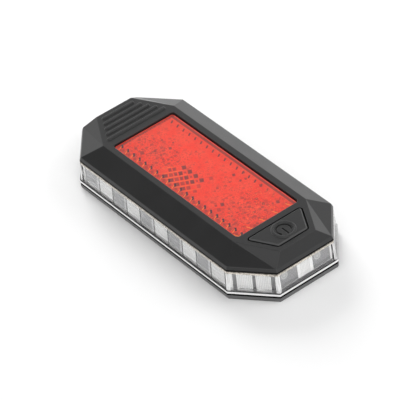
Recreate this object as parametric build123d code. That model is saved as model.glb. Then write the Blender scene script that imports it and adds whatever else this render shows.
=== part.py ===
from build123d import *
import math
import os

# Bicycle rear light lying on its back: a low octagonal case with faceted black covers,
# a red reflector window, a wide power key at one end and a clear light band all round.
# Millimetres. +X points to the key end and +Z out of the reflector window. The origin is
# the middle of the flat back. Negative Y is called the near side, positive Y the far side.

# How far joined shapes sink into each other, and how far cutters reach past a face
SINK = 0.2
PAST = 1.0

# Outline of the case at the top of its lip, an octagon
LIP_LENGTH = 100.0
LIP_WIDTH = 42.3
LIP_CUT_X = 12.1
LIP_CUT_Y = 10.0

# Flat top face, a narrower octagon
TOP_END_INSET = 2.6
TOP_SIDE_INSET = 6.6
TOP_CUT_LONGER = 1.6
TOP_CUT_SHALLOWER = 2.6

# Top cover
HEIGHT = 15.7
FACET_DROP = 3.45
LIP_HEIGHT = 1.6
LIP_DRAFT = 0.63
EDGE_ROUND = 0.25
ROOF_WALL = 1.4
FACET_WALL = 0.45
RIM_WALL = 1.6
RIM_ROOF = 0.9
BOSS_RADIUS = 1.9

# Grip ribs on the top face, at the port end
RIB_COUNT = 5
RIB_FROM_WINDOW = 3.4
RIB_PITCH = 2.475
RIB_WIDTH = 1.25
RIB_HEIGHT = 0.45
RIB_ROUND = 0.35
RIB_MARGIN = 2.0

# Reflector window
WINDOW_FROM_KEY = 2.3
WINDOW_FROM_END = 15.8
WINDOW_FROM_SIDE = 2.1
WINDOW_CORNER = 1.2
WINDOW_GAP = 0.1
REFLECTOR_RECESS = 0.75
REFLECTOR_LEDGE = 1.15
REFLECTOR_FLANGE = 1.0
TAPE_THICKNESS = 0.2
TAPE_WIDTH = 0.9
PRISM_PITCH = 3.0

# Power key, a trapezoid with its long side by the window
KEY_FROM_END = 1.75
KEY_LENGTH = 10.45
KEY_LONG_MARGIN = 2.0
KEY_SHORT_MARGIN = 1.95
KEY_CORNER = 1.2
KEY_CORNER_LEAST = 0.2
KEY_GAP = 0.55
KEY_PROUD = 0.4
KEY_BEVEL = 0.4
KEY_FLANGE = 0.6
KEY_FLANGE_THICKNESS = 0.8
KEY_GASKET_THICKNESS = 0.4
KEY_GASKET_WIDTH = 0.5
KEY_SEAT_GAP = 0.02
KEY_TRAVEL = 0.5
KEY_STEM_RADIUS = 1.5
KEY_STEM_LENGTH = 0.71
SYMBOL_FROM_LONG_SIDE = 5.3
RING_RADIUS = 4.05
RING_WIDTH = 0.9
RING_HEIGHT = 0.4
RING_BEVEL = 0.25
SYMBOL_RADIUS = 2.4
SYMBOL_STROKE = 0.6
SYMBOL_DEPTH = 0.25
SYMBOL_GAP_DEGREES = 100.0
SYMBOL_BAR_BACK = 0.9
SYMBOL_BAR_FRONT = 2.6

# Clear band
LENS_GAP = 0.25
LENS_TOP_OUT = 0.45
LENS_FOOT_OUT = 0.95
LENS_INSET = 1.0
FLANGE_OUT = 1.33
FLANGE_HEIGHT = 0.9

# Back cover
BASE_THICKNESS = 1.8
BASE_OUT = 1.3
BASE_BOTTOM_OUT = 1.05
BASE_BEVEL = 0.8
LOCATOR_WIDTH = 0.9
LOCATOR_HEIGHT = 1.4

# Gaskets of the clear band
BASE_GASKET_HEIGHT = 0.55
BASE_GASKET_OUT = 0.5
TOP_GASKET_IN = 0.85
TOP_GASKET_OUT = -0.2
TOP_GASKET_DEPTH = 0.25
GASKET_GAP = 0.1

# White cell frame behind the clear band
FRAME_GAP = 0.1
FRAME_DEPTH = 3.8
FRAME_CORNER_DEPTH = 1.9
FRAME_BACK = 0.8
CELL_COUNT = 8
OUTER_CELL = 8.1
CELL_WALL = 0.7
CELL_FLOOR = 1.6
CELL_ROOF = 0.8
END_BLOCK = 5.4
END_CELL_MARGIN = 0.75
CORNER_SLOTS = [(-6.0, 1.3), (0.2, 1.1), (6.25, 1.4)]
CORNER_SLOT_DEPTH = 0.8
CORNER_PANELS = [-2.85, 3.15]
FLUTE_PITCH = 0.56
FLUTE_WIDTH = 0.28
FLUTE_DEPTH = 0.25
PANEL_FLUTES = 8
BLOCK_FLUTES = 7

# Grey panes in the mouths of the pockets
PANE_THICKNESS = 0.6
PANE_RECESS = 0.1
PANE_GAP = 0.08

# White chamber round the lights under the reflector
CHAMBER_WALL = 1.0
CHAMBER_GAP = 0.05

# Light sources: a square base with a round dome
LED_SIZE = 3.0
LED_CORNER = 0.3
LED_BASE = 0.6
LED_DOME_RADIUS = 1.2
LED_DOME_HEIGHT = 0.5
LED_GAP = 0.15
STRIP_THICKNESS = 0.3
STRIP_GAP = 0.05
STRIP_LIFT = 0.6
REAR_LED_COLUMNS = 4
REAR_LED_PITCH_X = 15.0
REAR_LED_PITCH_Y = 12.0

# Circuit board
BOARD_THICKNESS = 0.8
BOARD_SIDE_GAP = 0.35
BOARD_CORNER_GAP = 0.25
BOARD_TONGUE_WIDTH = 11.6
BOARD_TONGUE_GAP = 0.8
POST_FROM_END = 20.0
POST_FROM_SIDE = 10.15
POST_RADIUS = 1.6
PIN_RADIUS = 0.8
PIN_GAP = 0.08
PIN_PROUD = 0.4

# Parts on the board
CONTROLLER_SIZE = 5.0
CONTROLLER_HEIGHT = 0.9
CHARGER_SIZE = 3.0
CHARGER_HEIGHT = 0.8
CHARGER_FROM_POST = 6.0
CHARGER_Y = 6.0
CHIP_CORNER = 0.2
INDUCTOR_SIZE = 5.0
INDUCTOR_HEIGHT = 3.0
INDUCTOR_CORNER = 0.9
INDUCTOR_FROM_POST = 5.5
RESISTOR_LENGTH = 1.6
RESISTOR_WIDTH = 0.85
RESISTOR_HEIGHT = 0.45
RESISTOR_GAP = 1.2
CAPACITOR_LENGTH = 2.0
CAPACITOR_WIDTH = 1.25
CAPACITOR_HEIGHT = 0.85
CAPACITOR_GAP = 1.0
CAPACITOR_SPACING = 3.4
CHARGE_LIGHT_LENGTH = 1.6
CHARGE_LIGHT_WIDTH = 0.8
CHARGE_LIGHT_HEIGHT = 0.6
CHARGE_LIGHT_FROM_POST = 10.5
CHARGE_LIGHT_FROM_POST_Y = 3.0

# Switch under the key
SWITCH_SIZE = 6.0
SWITCH_CORNER = 0.4
SWITCH_HEIGHT = 2.4
SWITCH_BORE = 1.85
SWITCH_FLOOR = 0.5
PLUNGER_RADIUS = 1.75
PLUNGER_GAP = 0.05
PLUNGER_CLEAR = 0.12
PLUNGER_BEVEL = 0.15
DOME_HEIGHT = 0.6
DOME_THICKNESS = 0.12
DOME_GAP = 0.1

# Battery on the roof of the bracket slot
BATTERY_END_GAP = 2.4
BATTERY_SIDE_GAP = 0.55
BATTERY_TOP_GAP = 0.7
BATTERY_CORNER = 1.4
BATTERY_EDGE = 0.8
BATTERY_TAPE = 0.3
BATTERY_RAIL_GAP = 0.2
BATTERY_RAIL = 1.0
BATTERY_RAIL_LENGTH = 36.0
BATTERY_RAIL_HEIGHT = 5.2
CELL_BOARD_LENGTH = 3.0
CELL_BOARD_INSET = 3.5
CELL_BOARD_THICKNESS = 1.6
LEAD_RADIUS = 0.45
LEAD_SPACING = 4.0
LEAD_RUN = 3.4
LEAD_BEND = 1.2

# Bracket slot in the back
SLOT_LENGTH = 30.0
SLOT_WIDTH = 16.0
SLOT_DEPTH = 3.1
SLOT_ROOF = 1.2
SLOT_ENTRY = 12.0
SLOT_LIP = 3.0
SLOT_LIP_THICKNESS = 1.2

# Cover screws
SCREW_FROM_CORNER = 5.6
SCREW_RADIUS = 0.95
SCREW_HEAD_RADIUS = 1.75
SCREW_HEAD_HEIGHT = 1.3
SCREW_LENGTH = 8.0
SCREW_GAP = 0.1
SCREW_HOLE_GAP = 0.02
SCREW_HOLE_PAST = 0.5
SCREW_RECESS = 0.9
SCREW_SEAT = 1.4
SCREW_CUP_WALL = 0.6
SCREW_CROSS_WIDTH = 0.55
SCREW_CROSS_LENGTH = 2.2
SCREW_CROSS_DEPTH = 0.7
SCREW_HEAD_ROUND = 0.4

# Charging port in the far end from the key
PORT_WIDTH = 13.0
PORT_HEIGHT = 6.4
PORT_COVER_GAP = 0.3
PORT_COVER_WALL = 1.2
PORT_COVER_ROUND = 0.6
PORT_PLATE = 1.0
PORT_PLUG_DEPTH = 1.7
PORT_HINGE_GAP = 0.4
PORT_TONGUE_WIDTH = 7.4
PORT_TONGUE_HEIGHT = 2.1
PORT_TONGUE_REACH = 1.2
PORT_TIP_WIDTH = 6.4
PORT_TIP_HEIGHT = 1.7
PORT_TAB_PROUD = 0.35
PORT_TAB_WIDTH = 1.0
PORT_TAB_HEIGHT = 4.0
STRAP_HEIGHT = 2.8
STRAP_LENGTH = 2.4
STRAP_THICKNESS = 0.8
STRAP_BEND_THICKNESS = 0.5
STRAP_BEND_GAP = 0.1
STRAP_PEG_RADIUS = 0.7
STRAP_PEG_REACH = 1.6
SOCKET_WIDTH = 8.94
SOCKET_HEIGHT = 3.2
SOCKET_LENGTH = 7.3
SOCKET_WALL = 0.3
SOCKET_ROUND = 1.2
SOCKET_INSET = 0.2
SOCKET_BLADE_WIDTH = 6.7
SOCKET_BLADE_HEIGHT = 0.7
SOCKET_BLADE_LENGTH = 5.4

# Heights that follow, from the roof down
LIP_TOP = HEIGHT - FACET_DROP
LIP_BOTTOM = LIP_TOP - LIP_HEIGHT
LENS_TOP = LIP_BOTTOM - LENS_GAP
REFLECTOR_TOP = HEIGHT - REFLECTOR_RECESS
ROOF_UNDER = HEIGHT - ROOF_WALL
TAPE_UNDER = ROOF_UNDER - TAPE_THICKNESS
FLANGE_UNDER = TAPE_UNDER - REFLECTOR_FLANGE
PRISM_LEVEL = PRISM_PITCH / math.sqrt(6)
KEY_FLANGE_TOP = ROOF_UNDER - KEY_GASKET_THICKNESS - KEY_SEAT_GAP
KEY_FLANGE_UNDER = KEY_FLANGE_TOP - KEY_FLANGE_THICKNESS
PLUNGER_TOP = KEY_FLANGE_UNDER - KEY_STEM_LENGTH - PLUNGER_GAP
SWITCH_TOP = PLUNGER_TOP - KEY_TRAVEL - PLUNGER_CLEAR
BOARD_TOP = SWITCH_TOP - SWITCH_HEIGHT
BOARD_BOTTOM = BOARD_TOP - BOARD_THICKNESS
PORT_CENTRE_Z = BOARD_BOTTOM - SOCKET_HEIGHT / 2

# Heights that follow, from the back up
LENS_BOTTOM = BASE_THICKNESS + BASE_GASKET_HEIGHT
SLOT_TOP = SLOT_DEPTH + SLOT_ROOF
BATTERY_BOTTOM = SLOT_TOP + BATTERY_TAPE
BATTERY_TOP = BOARD_BOTTOM - BATTERY_TOP_GAP
BATTERY_MIDDLE = (BATTERY_BOTTOM + BATTERY_TOP) / 2
FRAME_OUT = -(LENS_INSET + FRAME_GAP)
FRAME_IN = FRAME_OUT - FRAME_DEPTH
FRAME_CORNER_IN = FRAME_OUT - FRAME_CORNER_DEPTH
STRIP_OUT = FRAME_IN - STRIP_GAP
STRIP_IN = STRIP_OUT - STRIP_THICKNESS
SCREW_SEAT_Z = SCREW_RECESS + SCREW_HEAD_HEIGHT
BOSS_FOOT = SCREW_SEAT_Z + SCREW_SEAT
CELL_LOW = BASE_THICKNESS + CELL_FLOOR
CELL_HIGH = LENS_TOP - CELL_ROOF
CELL_MIDDLE = (CELL_LOW + CELL_HIGH) / 2
STRIP_LOW = BASE_THICKNESS + LOCATOR_HEIGHT + STRIP_LIFT

# Places and lengths along the case that follow
END_X = LIP_LENGTH / 2
SIDE_Y = LIP_WIDTH / 2
TOP_LENGTH = LIP_LENGTH - 2 * TOP_END_INSET
TOP_WIDTH = LIP_WIDTH - 2 * TOP_SIDE_INSET
TOP_CUT_X = LIP_CUT_X + TOP_CUT_LONGER
TOP_CUT_Y = LIP_CUT_Y - TOP_CUT_SHALLOWER
LENS_END_X = END_X + LENS_FOOT_OUT
LENS_INNER_X = END_X - LENS_INSET
KEY_X = TOP_LENGTH / 2 - KEY_FROM_END - KEY_LENGTH
SYMBOL_X = KEY_X + SYMBOL_FROM_LONG_SIDE
WINDOW_START = WINDOW_FROM_END - TOP_LENGTH / 2
WINDOW_END = KEY_X - WINDOW_FROM_KEY
WINDOW_X = (WINDOW_START + WINDOW_END) / 2
WINDOW_LENGTH = WINDOW_END - WINDOW_START
WINDOW_WIDTH = TOP_WIDTH - 2 * WINDOW_FROM_SIDE
RIB_FIRST_X = WINDOW_START - RIB_FROM_WINDOW
CELLS_END = END_X - LIP_CUT_X - FRAME_GAP - CELL_WALL
CELL_PITCH = 2 * (CELLS_END - OUTER_CELL) / CELL_COUNT
END_CELL = SIDE_Y - LIP_CUT_Y - END_BLOCK / 2 - END_CELL_MARGIN
POST_X = END_X - POST_FROM_END
POST_Y = SIDE_Y - POST_FROM_SIDE
BATTERY_LENGTH = 2 * (POST_X - POST_RADIUS - BATTERY_END_GAP - CELL_BOARD_LENGTH)
RAIL_OUT = SIDE_Y + FRAME_IN - FRAME_GAP - LOCATOR_WIDTH - BATTERY_SIDE_GAP
BATTERY_WIDTH = 2 * (RAIL_OUT - BATTERY_RAIL - BATTERY_RAIL_GAP)
HINGE_Y = PORT_WIDTH / 2 + PORT_HINGE_GAP
STRAP_Y = HINGE_Y + STRAP_BEND_GAP
SOCKET_MOUTH = -LENS_INNER_X + SOCKET_INSET


def octagon(length, width, cut_x, cut_y, side=0.0, end=0.0, corner=0.0):
    """Corner points of an octagon whose sides, ends and corner cuts are moved outwards."""
    run = math.hypot(cut_x, cut_y)
    normal_x, normal_y = cut_y / run, cut_x / run
    reach = normal_x * length / 2 + normal_y * (width / 2 - cut_y) + corner
    x = length / 2 + end
    y = width / 2 + side
    side_x = (reach - normal_y * y) / normal_x
    end_y = (reach - normal_x * x) / normal_y
    return [
        (-side_x, -y), (side_x, -y), (x, -end_y), (x, end_y),
        (side_x, y), (-side_x, y), (-x, end_y), (-x, -end_y),
    ]


def lip(out=0.0, end=None, corner=None):
    """Lip octagon moved outwards, with its ends and corners moved apart from it if given."""
    end = out if end is None else end
    corner = out if corner is None else corner
    return octagon(LIP_LENGTH, LIP_WIDTH, LIP_CUT_X, LIP_CUT_Y, out, end, corner)


def top(out=0.0):
    """Top face octagon moved outwards."""
    return octagon(TOP_LENGTH, TOP_WIDTH, TOP_CUT_X, TOP_CUT_Y, out, out, out)


def flat(points, z=0.0):
    """Flat polygon at a height."""
    return Face(Wire.make_polygon([Vector(x, y, z) for x, y in points]))


def prism(points, low, high):
    """Upright solid over a polygon."""
    return extrude(flat(points, low), high - low, dir=(0, 0, 1))


def ring(outer, inner, low, high):
    """Upright ring between two polygons."""
    return prism(outer, low, high) - prism(inner, low - PAST, high + PAST)


def drafted(lower, low, upper, high):
    """Solid between two polygons of as many points, with flat walls."""
    return loft([flat(lower, low), flat(upper, high)], ruled=True)


def faceted(lower, low, upper, high):
    """Solid between two octagons, each corner folded from its upper side point to its lower end point."""
    lows = [Vector(x, y, low) for x, y in lower]
    highs = [Vector(x, y, high) for x, y in upper]
    loops = [list(reversed(lows)), highs]
    for a, b in ((0, 1), (2, 3), (4, 5), (6, 7)):
        loops.append([lows[a], lows[b], highs[b], highs[a]])
    for side, end in ((1, 2), (4, 3), (5, 6), (0, 7)):
        loops.append([lows[side], lows[end], highs[side]])
        loops.append([lows[end], highs[end], highs[side]])
    return Solid(Shell([Face(Wire.make_polygon(loop)) for loop in loops]))


def box(x0, x1, y0, y1, z0, z1):
    """Box from its limits."""
    centre = ((x0 + x1) / 2, (y0 + y1) / 2, (z0 + z1) / 2)
    return Pos(*centre) * Box(x1 - x0, y1 - y0, z1 - z0)


def rod(x, y, radius, low, high):
    """Upright round bar."""
    return Pos(x, y, (low + high) / 2) * Cylinder(radius, high - low)


def rounded_plate(x, length, width, corner, low, high):
    """Upright plate with round corners, centred on the X axis line."""
    outline = Pos(x, 0, low) * RectangleRounded(length, width, corner)
    return extrude(outline, high - low, dir=(0, 0, 1))


def top_half_width(x):
    """Half width of the top face at a place along it."""
    past_corner = max(0.0, abs(x) - (TOP_LENGTH / 2 - TOP_CUT_X))
    return TOP_WIDTH / 2 - past_corner * TOP_CUT_Y / TOP_CUT_X


def key_outline(out):
    """Trapezoid of the key opening moved outwards; its slanted sides follow the corner cuts."""
    x0 = KEY_X
    x1 = KEY_X + KEY_LENGTH
    long_half = top_half_width(x0) - KEY_LONG_MARGIN
    short_half = top_half_width(x1) - KEY_SHORT_MARGIN
    corners = [(x0, -long_half), (x1, -short_half), (x1, short_half), (x0, long_half)]
    moved = offset(make_face(Polyline(*corners, close=True)), out, kind=Kind.INTERSECTION)
    radius = max(KEY_CORNER + out, KEY_CORNER_LEAST)
    return fillet(moved.vertices(), radius)


def key_plate(out, low, high):
    """Upright plate over the key outline."""
    return extrude(Pos(0, 0, low) * key_outline(out), high - low, dir=(0, 0, 1))


def screw_places():
    """Centres of the four cover screws, square in from the middle of each corner cut."""
    run = math.hypot(LIP_CUT_X, LIP_CUT_Y)
    x = END_X - LIP_CUT_X / 2 - SCREW_FROM_CORNER * LIP_CUT_Y / run
    y = SIDE_Y - LIP_CUT_Y / 2 - SCREW_FROM_CORNER * LIP_CUT_X / run
    return [(sx * x, sy * y) for sx in (-1, 1) for sy in (-1, 1)]


def post_places():
    """Centres of the four posts that carry the board."""
    return [(sx * POST_X, sy * POST_Y) for sx in (-1, 1) for sy in (-1, 1)]


def side_cell_places():
    """Centre and width of each lit cell of a long side, every second one from the port end."""
    inner_end = CELL_PITCH * CELL_COUNT / 2
    edges = [-CELLS_END] + [CELL_PITCH * i - inner_end for i in range(CELL_COUNT + 1)] + [CELLS_END]
    spans = list(zip(edges[:-1], edges[1:]))
    return [((a + b) / 2, b - a - CELL_WALL) for a, b in spans[::2]]


def end_cell_places():
    """Y centres of the two lit cells at the key end."""
    shift = (END_BLOCK + END_CELL) / 2
    return [-shift, shift]


def port_box(out, x0, x1):
    """Box along X through the charging port, widened by a distance."""
    half_y = PORT_WIDTH / 2 + out
    half_z = PORT_HEIGHT / 2 + out
    return box(x0, x1, -half_y, half_y, PORT_CENTRE_Z - half_z, PORT_CENTRE_Z + half_z)


def cover_block():
    """Solid outer form of the top cover."""
    return drafted(lip(LIP_DRAFT), LIP_BOTTOM, lip(), LIP_TOP) + faceted(lip(), LIP_TOP, top(), HEIGHT)


def top_cover():
    """Faceted black cover with the window, the key opening, the ribs and the screw bosses."""
    block = cover_block()
    inner_low = LIP_TOP - RIM_ROOF
    hollow = faceted(lip(-RIM_WALL), inner_low, top(-FACET_WALL), ROOF_UNDER)
    hollow += prism(lip(-RIM_WALL), LIP_BOTTOM - PAST, inner_low)
    cover = fillet(block.edges(), EDGE_ROUND) - hollow
    for x, y in screw_places():
        upper = rod(x, y, BOSS_RADIUS, LIP_BOTTOM, ROOF_UNDER) & block
        cover += upper + rod(x, y, BOSS_RADIUS, BOSS_FOOT, LIP_BOTTOM)
    hole_top = SCREW_SEAT_Z + SCREW_LENGTH + SCREW_HOLE_PAST
    for x, y in screw_places():
        cover -= rod(x, y, SCREW_RADIUS + SCREW_HOLE_GAP, BOSS_FOOT - PAST, hole_top)
    low = ROOF_UNDER - PAST
    high = HEIGHT + PAST
    cover -= rounded_plate(WINDOW_X, WINDOW_LENGTH, WINDOW_WIDTH, WINDOW_CORNER, low, high)
    cover -= key_plate(0, low, high)
    groove_outer = lip(TOP_GASKET_OUT + GASKET_GAP)
    groove_inner = lip(-TOP_GASKET_IN - GASKET_GAP)
    cover -= ring(groove_outer, groove_inner, LIP_BOTTOM, LIP_BOTTOM + TOP_GASKET_DEPTH)
    for i in range(RIB_COUNT):
        cover += grip_rib(RIB_FIRST_X - RIB_PITCH * i)
    return cover


def grip_rib(x):
    """Rounded rib across the top face, as long as the corner cuts allow there."""
    half = top_half_width(x) - RIB_MARGIN
    outline = Pos(x, 0, HEIGHT - SINK) * Rot(0, 0, 90) * SlotOverall(2 * half, RIB_WIDTH)
    bar = extrude(outline, RIB_HEIGHT + SINK)
    return fillet(bar.faces().sort_by(Axis.Z)[-1].edges(), RIB_ROUND)


def reflector():
    """Red reflector: a smooth face in the window, a flange under the roof, prisms below."""
    length = WINDOW_LENGTH - 2 * WINDOW_GAP
    width = WINDOW_WIDTH - 2 * WINDOW_GAP
    corner = WINDOW_CORNER - WINDOW_GAP
    face = rounded_plate(WINDOW_X, length, width, corner, FLANGE_UNDER, REFLECTOR_TOP)
    wide = 2 * REFLECTOR_LEDGE
    flange = rounded_plate(
        WINDOW_X, WINDOW_LENGTH + wide, WINDOW_WIDTH + wide, WINDOW_CORNER, FLANGE_UNDER, TAPE_UNDER,
    )
    cut = rounded_plate(WINDOW_X, length, width, corner, FLANGE_UNDER - 3 * PRISM_LEVEL, TAPE_UNDER)
    return face + flange + (prism_field(length, width) & cut)


def prism_field(length, width):
    """Rows of hexagonal cube corners that point down, past the given size, as one closed solid."""
    radius = PRISM_PITCH / math.sqrt(3)
    row_pitch = radius * 1.5
    rows = int(width / row_pitch) + 3
    columns = int(length / PRISM_PITCH) + 3
    low = FLANGE_UNDER - 2 * PRISM_LEVEL
    high = FLANGE_UNDER + SINK
    heights = {}
    border = {}
    faces = []
    for row in range(rows):
        count = columns - row % 2
        y = (row - (rows - 1) / 2) * row_pitch
        for column in range(count):
            x = WINDOW_X + (column - (count - 1) / 2) * PRISM_PITCH
            ends = []
            for k in range(6):
                angle = math.radians(30 + 60 * k)
                end = (round(x + radius * math.cos(angle), 6), round(y + radius * math.sin(angle), 6))
                heights[end] = low + PRISM_LEVEL * (1 + k % 2)
                ends.append(end)
            for k in (0, 2, 4):
                rhombus = [Vector(x, y, low)]
                rhombus += [Vector(*ends[i % 6], heights[ends[i % 6]]) for i in (k, k + 1, k + 2)]
                faces.append(Face(Wire.make_polygon(rhombus)))
            for k in range(6):
                start, end = ends[k], ends[(k + 1) % 6]
                if border.get(end) == start:
                    del border[end]
                else:
                    border[start] = end
    for start, end in border.items():
        foot = [Vector(*start, heights[start]), Vector(*end, heights[end])]
        faces.append(Face(Wire.make_polygon(foot + [Vector(*end, high), Vector(*start, high)])))
    outline = [next(iter(border))]
    while border[outline[-1]] != outline[0]:
        outline.append(border[outline[-1]])
    faces.append(flat(outline, high))
    return Solid(Shell(faces))


def reflector_tape():
    """Frame of tape that seals the reflector to the roof."""
    inner = 2 * WINDOW_GAP
    outer = inner + 2 * TAPE_WIDTH
    length, width, corner = WINDOW_LENGTH, WINDOW_WIDTH, WINDOW_CORNER
    frame = rounded_plate(WINDOW_X, length + outer, width + outer, corner, TAPE_UNDER, ROOF_UNDER)
    return frame - rounded_plate(
        WINDOW_X, length + inner, width + inner, corner, TAPE_UNDER - PAST, ROOF_UNDER + PAST,
    )


def power_key():
    """Key cap with its raised ring and engraved power sign, its flange and its stem."""
    cap_top = HEIGHT + KEY_PROUD
    cap = key_plate(-KEY_GAP, KEY_FLANGE_TOP, cap_top)
    cap = chamfer(cap.faces().sort_by(Axis.Z)[-1].edges(), KEY_BEVEL)
    key = cap + key_plate(KEY_FLANGE, KEY_FLANGE_UNDER, KEY_FLANGE_TOP)
    key += rod(SYMBOL_X, 0, KEY_STEM_RADIUS, KEY_FLANGE_UNDER - KEY_STEM_LENGTH, KEY_FLANGE_UNDER)
    raised = rod(SYMBOL_X, 0, RING_RADIUS, cap_top - SINK, cap_top + RING_HEIGHT)
    raised -= rod(SYMBOL_X, 0, RING_RADIUS - RING_WIDTH, cap_top - PAST, cap_top + PAST)
    raised = chamfer(raised.edges().group_by(Axis.Z)[-1], RING_BEVEL)
    return key + raised - power_sign(cap_top)


def power_sign(surface):
    """Cutter for the power sign: an arc open towards +X and a bar through the opening."""
    outer = SYMBOL_RADIUS + SYMBOL_STROKE / 2
    inner = SYMBOL_RADIUS - SYMBOL_STROKE / 2
    low = surface - SYMBOL_DEPTH
    high = surface + PAST
    arc = rod(SYMBOL_X, 0, outer, low, high) - rod(SYMBOL_X, 0, inner, low - PAST, high + PAST)
    reach = 2 * outer
    spread = reach * math.tan(math.radians(SYMBOL_GAP_DEGREES / 2))
    wedge = [(SYMBOL_X, 0), (SYMBOL_X + reach, -spread), (SYMBOL_X + reach, spread)]
    arc -= prism(wedge, low - PAST, high + PAST)
    half = SYMBOL_STROKE / 2
    return arc + box(SYMBOL_X - SYMBOL_BAR_BACK, SYMBOL_X + SYMBOL_BAR_FRONT, -half, half, low, high)


def key_gasket():
    """Flat frame under the roof that the key's flange rises against."""
    frame = key_plate(KEY_GASKET_WIDTH, ROOF_UNDER - KEY_GASKET_THICKNESS, ROOF_UNDER)
    return frame - key_plate(0, ROOF_UNDER - PAST, ROOF_UNDER + PAST)


def switch_body():
    """Square switch housing with the bore of its plunger."""
    half = SWITCH_SIZE / 2
    body = box(SYMBOL_X - half, SYMBOL_X + half, -half, half, BOARD_TOP, SWITCH_TOP)
    body = chamfer(body.edges().filter_by(Axis.Z), SWITCH_CORNER)
    return body - rod(SYMBOL_X, 0, SWITCH_BORE, BOARD_TOP + SWITCH_FLOOR, SWITCH_TOP + PAST)


def switch_plunger():
    """Plunger that the key's stem pushes into the switch."""
    low = BOARD_TOP + SWITCH_FLOOR + DOME_HEIGHT + PLUNGER_GAP
    plunger = rod(SYMBOL_X, 0, PLUNGER_RADIUS, low, PLUNGER_TOP)
    return chamfer(plunger.faces().sort_by(Axis.Z)[-1].edges(), PLUNGER_BEVEL)


def switch_dome():
    """Snap dome of spring steel under the plunger."""
    low = BOARD_TOP + SWITCH_FLOOR
    half = SWITCH_BORE - DOME_GAP
    sphere = (half ** 2 + DOME_HEIGHT ** 2) / (2 * DOME_HEIGHT)
    centre = Pos(SYMBOL_X, 0, low + DOME_HEIGHT - sphere)
    dome = centre * Sphere(sphere) - centre * Sphere(sphere - DOME_THICKNESS)
    return dome & box(SYMBOL_X - half, SYMBOL_X + half, -half, half, low, low + DOME_HEIGHT + PAST)


def side_lens():
    """Clear band: a drafted wall on a flange, cut through for the charging port."""
    step = LENS_BOTTOM + FLANGE_HEIGHT
    wall = drafted(lip(LENS_FOOT_OUT), step, lip(LENS_TOP_OUT), LENS_TOP)
    wall += prism(lip(FLANGE_OUT), LENS_BOTTOM, step)
    wall -= prism(lip(-LENS_INSET), LENS_BOTTOM - PAST, LENS_TOP + PAST)
    outside = -END_X - FLANGE_OUT - PAST
    wall -= port_box(0, outside, -LENS_INNER_X + PAST)
    floor = -LENS_END_X + STRAP_THICKNESS + GASKET_GAP
    end = STRAP_Y + STRAP_LENGTH + GASKET_GAP
    half = STRAP_HEIGHT / 2 + GASKET_GAP
    wall -= box(outside, floor, PORT_WIDTH / 2 - SINK, end, PORT_CENTRE_Z - half, PORT_CENTRE_Z + half)
    return wall - strap_peg(STRAP_PEG_RADIUS + GASKET_GAP)


def top_gasket():
    """Gasket between the clear band and the top cover."""
    return ring(lip(TOP_GASKET_OUT), lip(-TOP_GASKET_IN), LENS_TOP, LIP_BOTTOM + TOP_GASKET_DEPTH)


def base_gasket():
    """Gasket between the back cover and the clear band."""
    return ring(lip(BASE_GASKET_OUT), lip(-LENS_INSET + GASKET_GAP), BASE_THICKNESS, LENS_BOTTOM)


def cell_frame():
    """White frame behind the clear band, with a pocket for each light and bars at the corners."""
    frame = ring(lip(FRAME_OUT), lip(FRAME_IN, FRAME_IN, FRAME_CORNER_IN), BASE_THICKNESS, LENS_TOP)
    led_half = LED_SIZE / 2 + LED_GAP
    led_low = CELL_MIDDLE - led_half
    led_high = CELL_MIDDLE + led_half
    front = SIDE_Y + FRAME_OUT + PAST
    back = SIDE_Y + FRAME_IN
    for x, width in side_cell_places():
        for side in (-1, 1):
            near, far = sorted((side * front, side * (back + FRAME_BACK)))
            frame -= box(x - width / 2, x + width / 2, near, far, CELL_LOW, CELL_HIGH)
            near, far = sorted((side * front, side * (back - PAST)))
            frame -= box(x - led_half, x + led_half, near, far, led_low, led_high)
    front = END_X + FRAME_OUT + PAST
    back = END_X + FRAME_IN
    half = (END_CELL - CELL_WALL) / 2
    for y in end_cell_places():
        frame -= box(back + FRAME_BACK, front, y - half, y + half, CELL_LOW, CELL_HIGH)
        frame -= box(back - PAST, front, y - led_half, y + led_half, led_low, led_high)
    frame -= port_box(0, -front, -back + PAST)
    frame -= corner_slots() + block_flutes()
    return frame - strap_peg(STRAP_PEG_RADIUS + GASKET_GAP)


def flute_steps(count):
    """Places of a number of fine flutes about a middle."""
    return [(i - (count - 1) / 2) * FLUTE_PITCH for i in range(count)]


def block_flutes():
    """Fine upright flutes in the block between the two lit cells of the key end."""
    flute = Box(2 * FLUTE_DEPTH, FLUTE_WIDTH, CELL_HIGH - CELL_LOW)
    return [Pos(END_X + FRAME_OUT, y, CELL_MIDDLE) * flute for y in flute_steps(BLOCK_FLUTES)]


def corner_slots():
    """Cutters for the frame's four corner faces: three upright slots with two fluted panels between."""
    cuts = [(along, width, CORNER_SLOT_DEPTH) for along, width in CORNER_SLOTS]
    cuts += [(panel + step, FLUTE_WIDTH, FLUTE_DEPTH) for panel in CORNER_PANELS for step in flute_steps(PANEL_FLUTES)]
    slots = []
    for sx in (-1, 1):
        for sy in (-1, 1):
            middle = Pos(sx * (END_X - LIP_CUT_X / 2), sy * (SIDE_Y - LIP_CUT_Y / 2), CELL_MIDDLE)
            turn = math.degrees(math.atan2(sy * LIP_CUT_X, sx * LIP_CUT_Y))
            for along, width, depth in cuts:
                cutter = Box(2 * depth, width, CELL_HIGH - CELL_LOW)
                slots.append(middle * Rot(0, 0, turn) * Pos(FRAME_OUT, -sx * sy * along, 0) * cutter)
    return slots


def side_panes(side):
    """Grey panes of one long side, one in the mouth of each lit pocket."""
    out = SIDE_Y + FRAME_OUT - PANE_RECESS
    near, far = sorted((side * out, side * (out - PANE_THICKNESS)))
    panes = []
    for x, width in side_cell_places():
        half = width / 2 - PANE_GAP
        panes.append(box(x - half, x + half, near, far, CELL_LOW + PANE_GAP, CELL_HIGH - PANE_GAP))
    return panes


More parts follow.
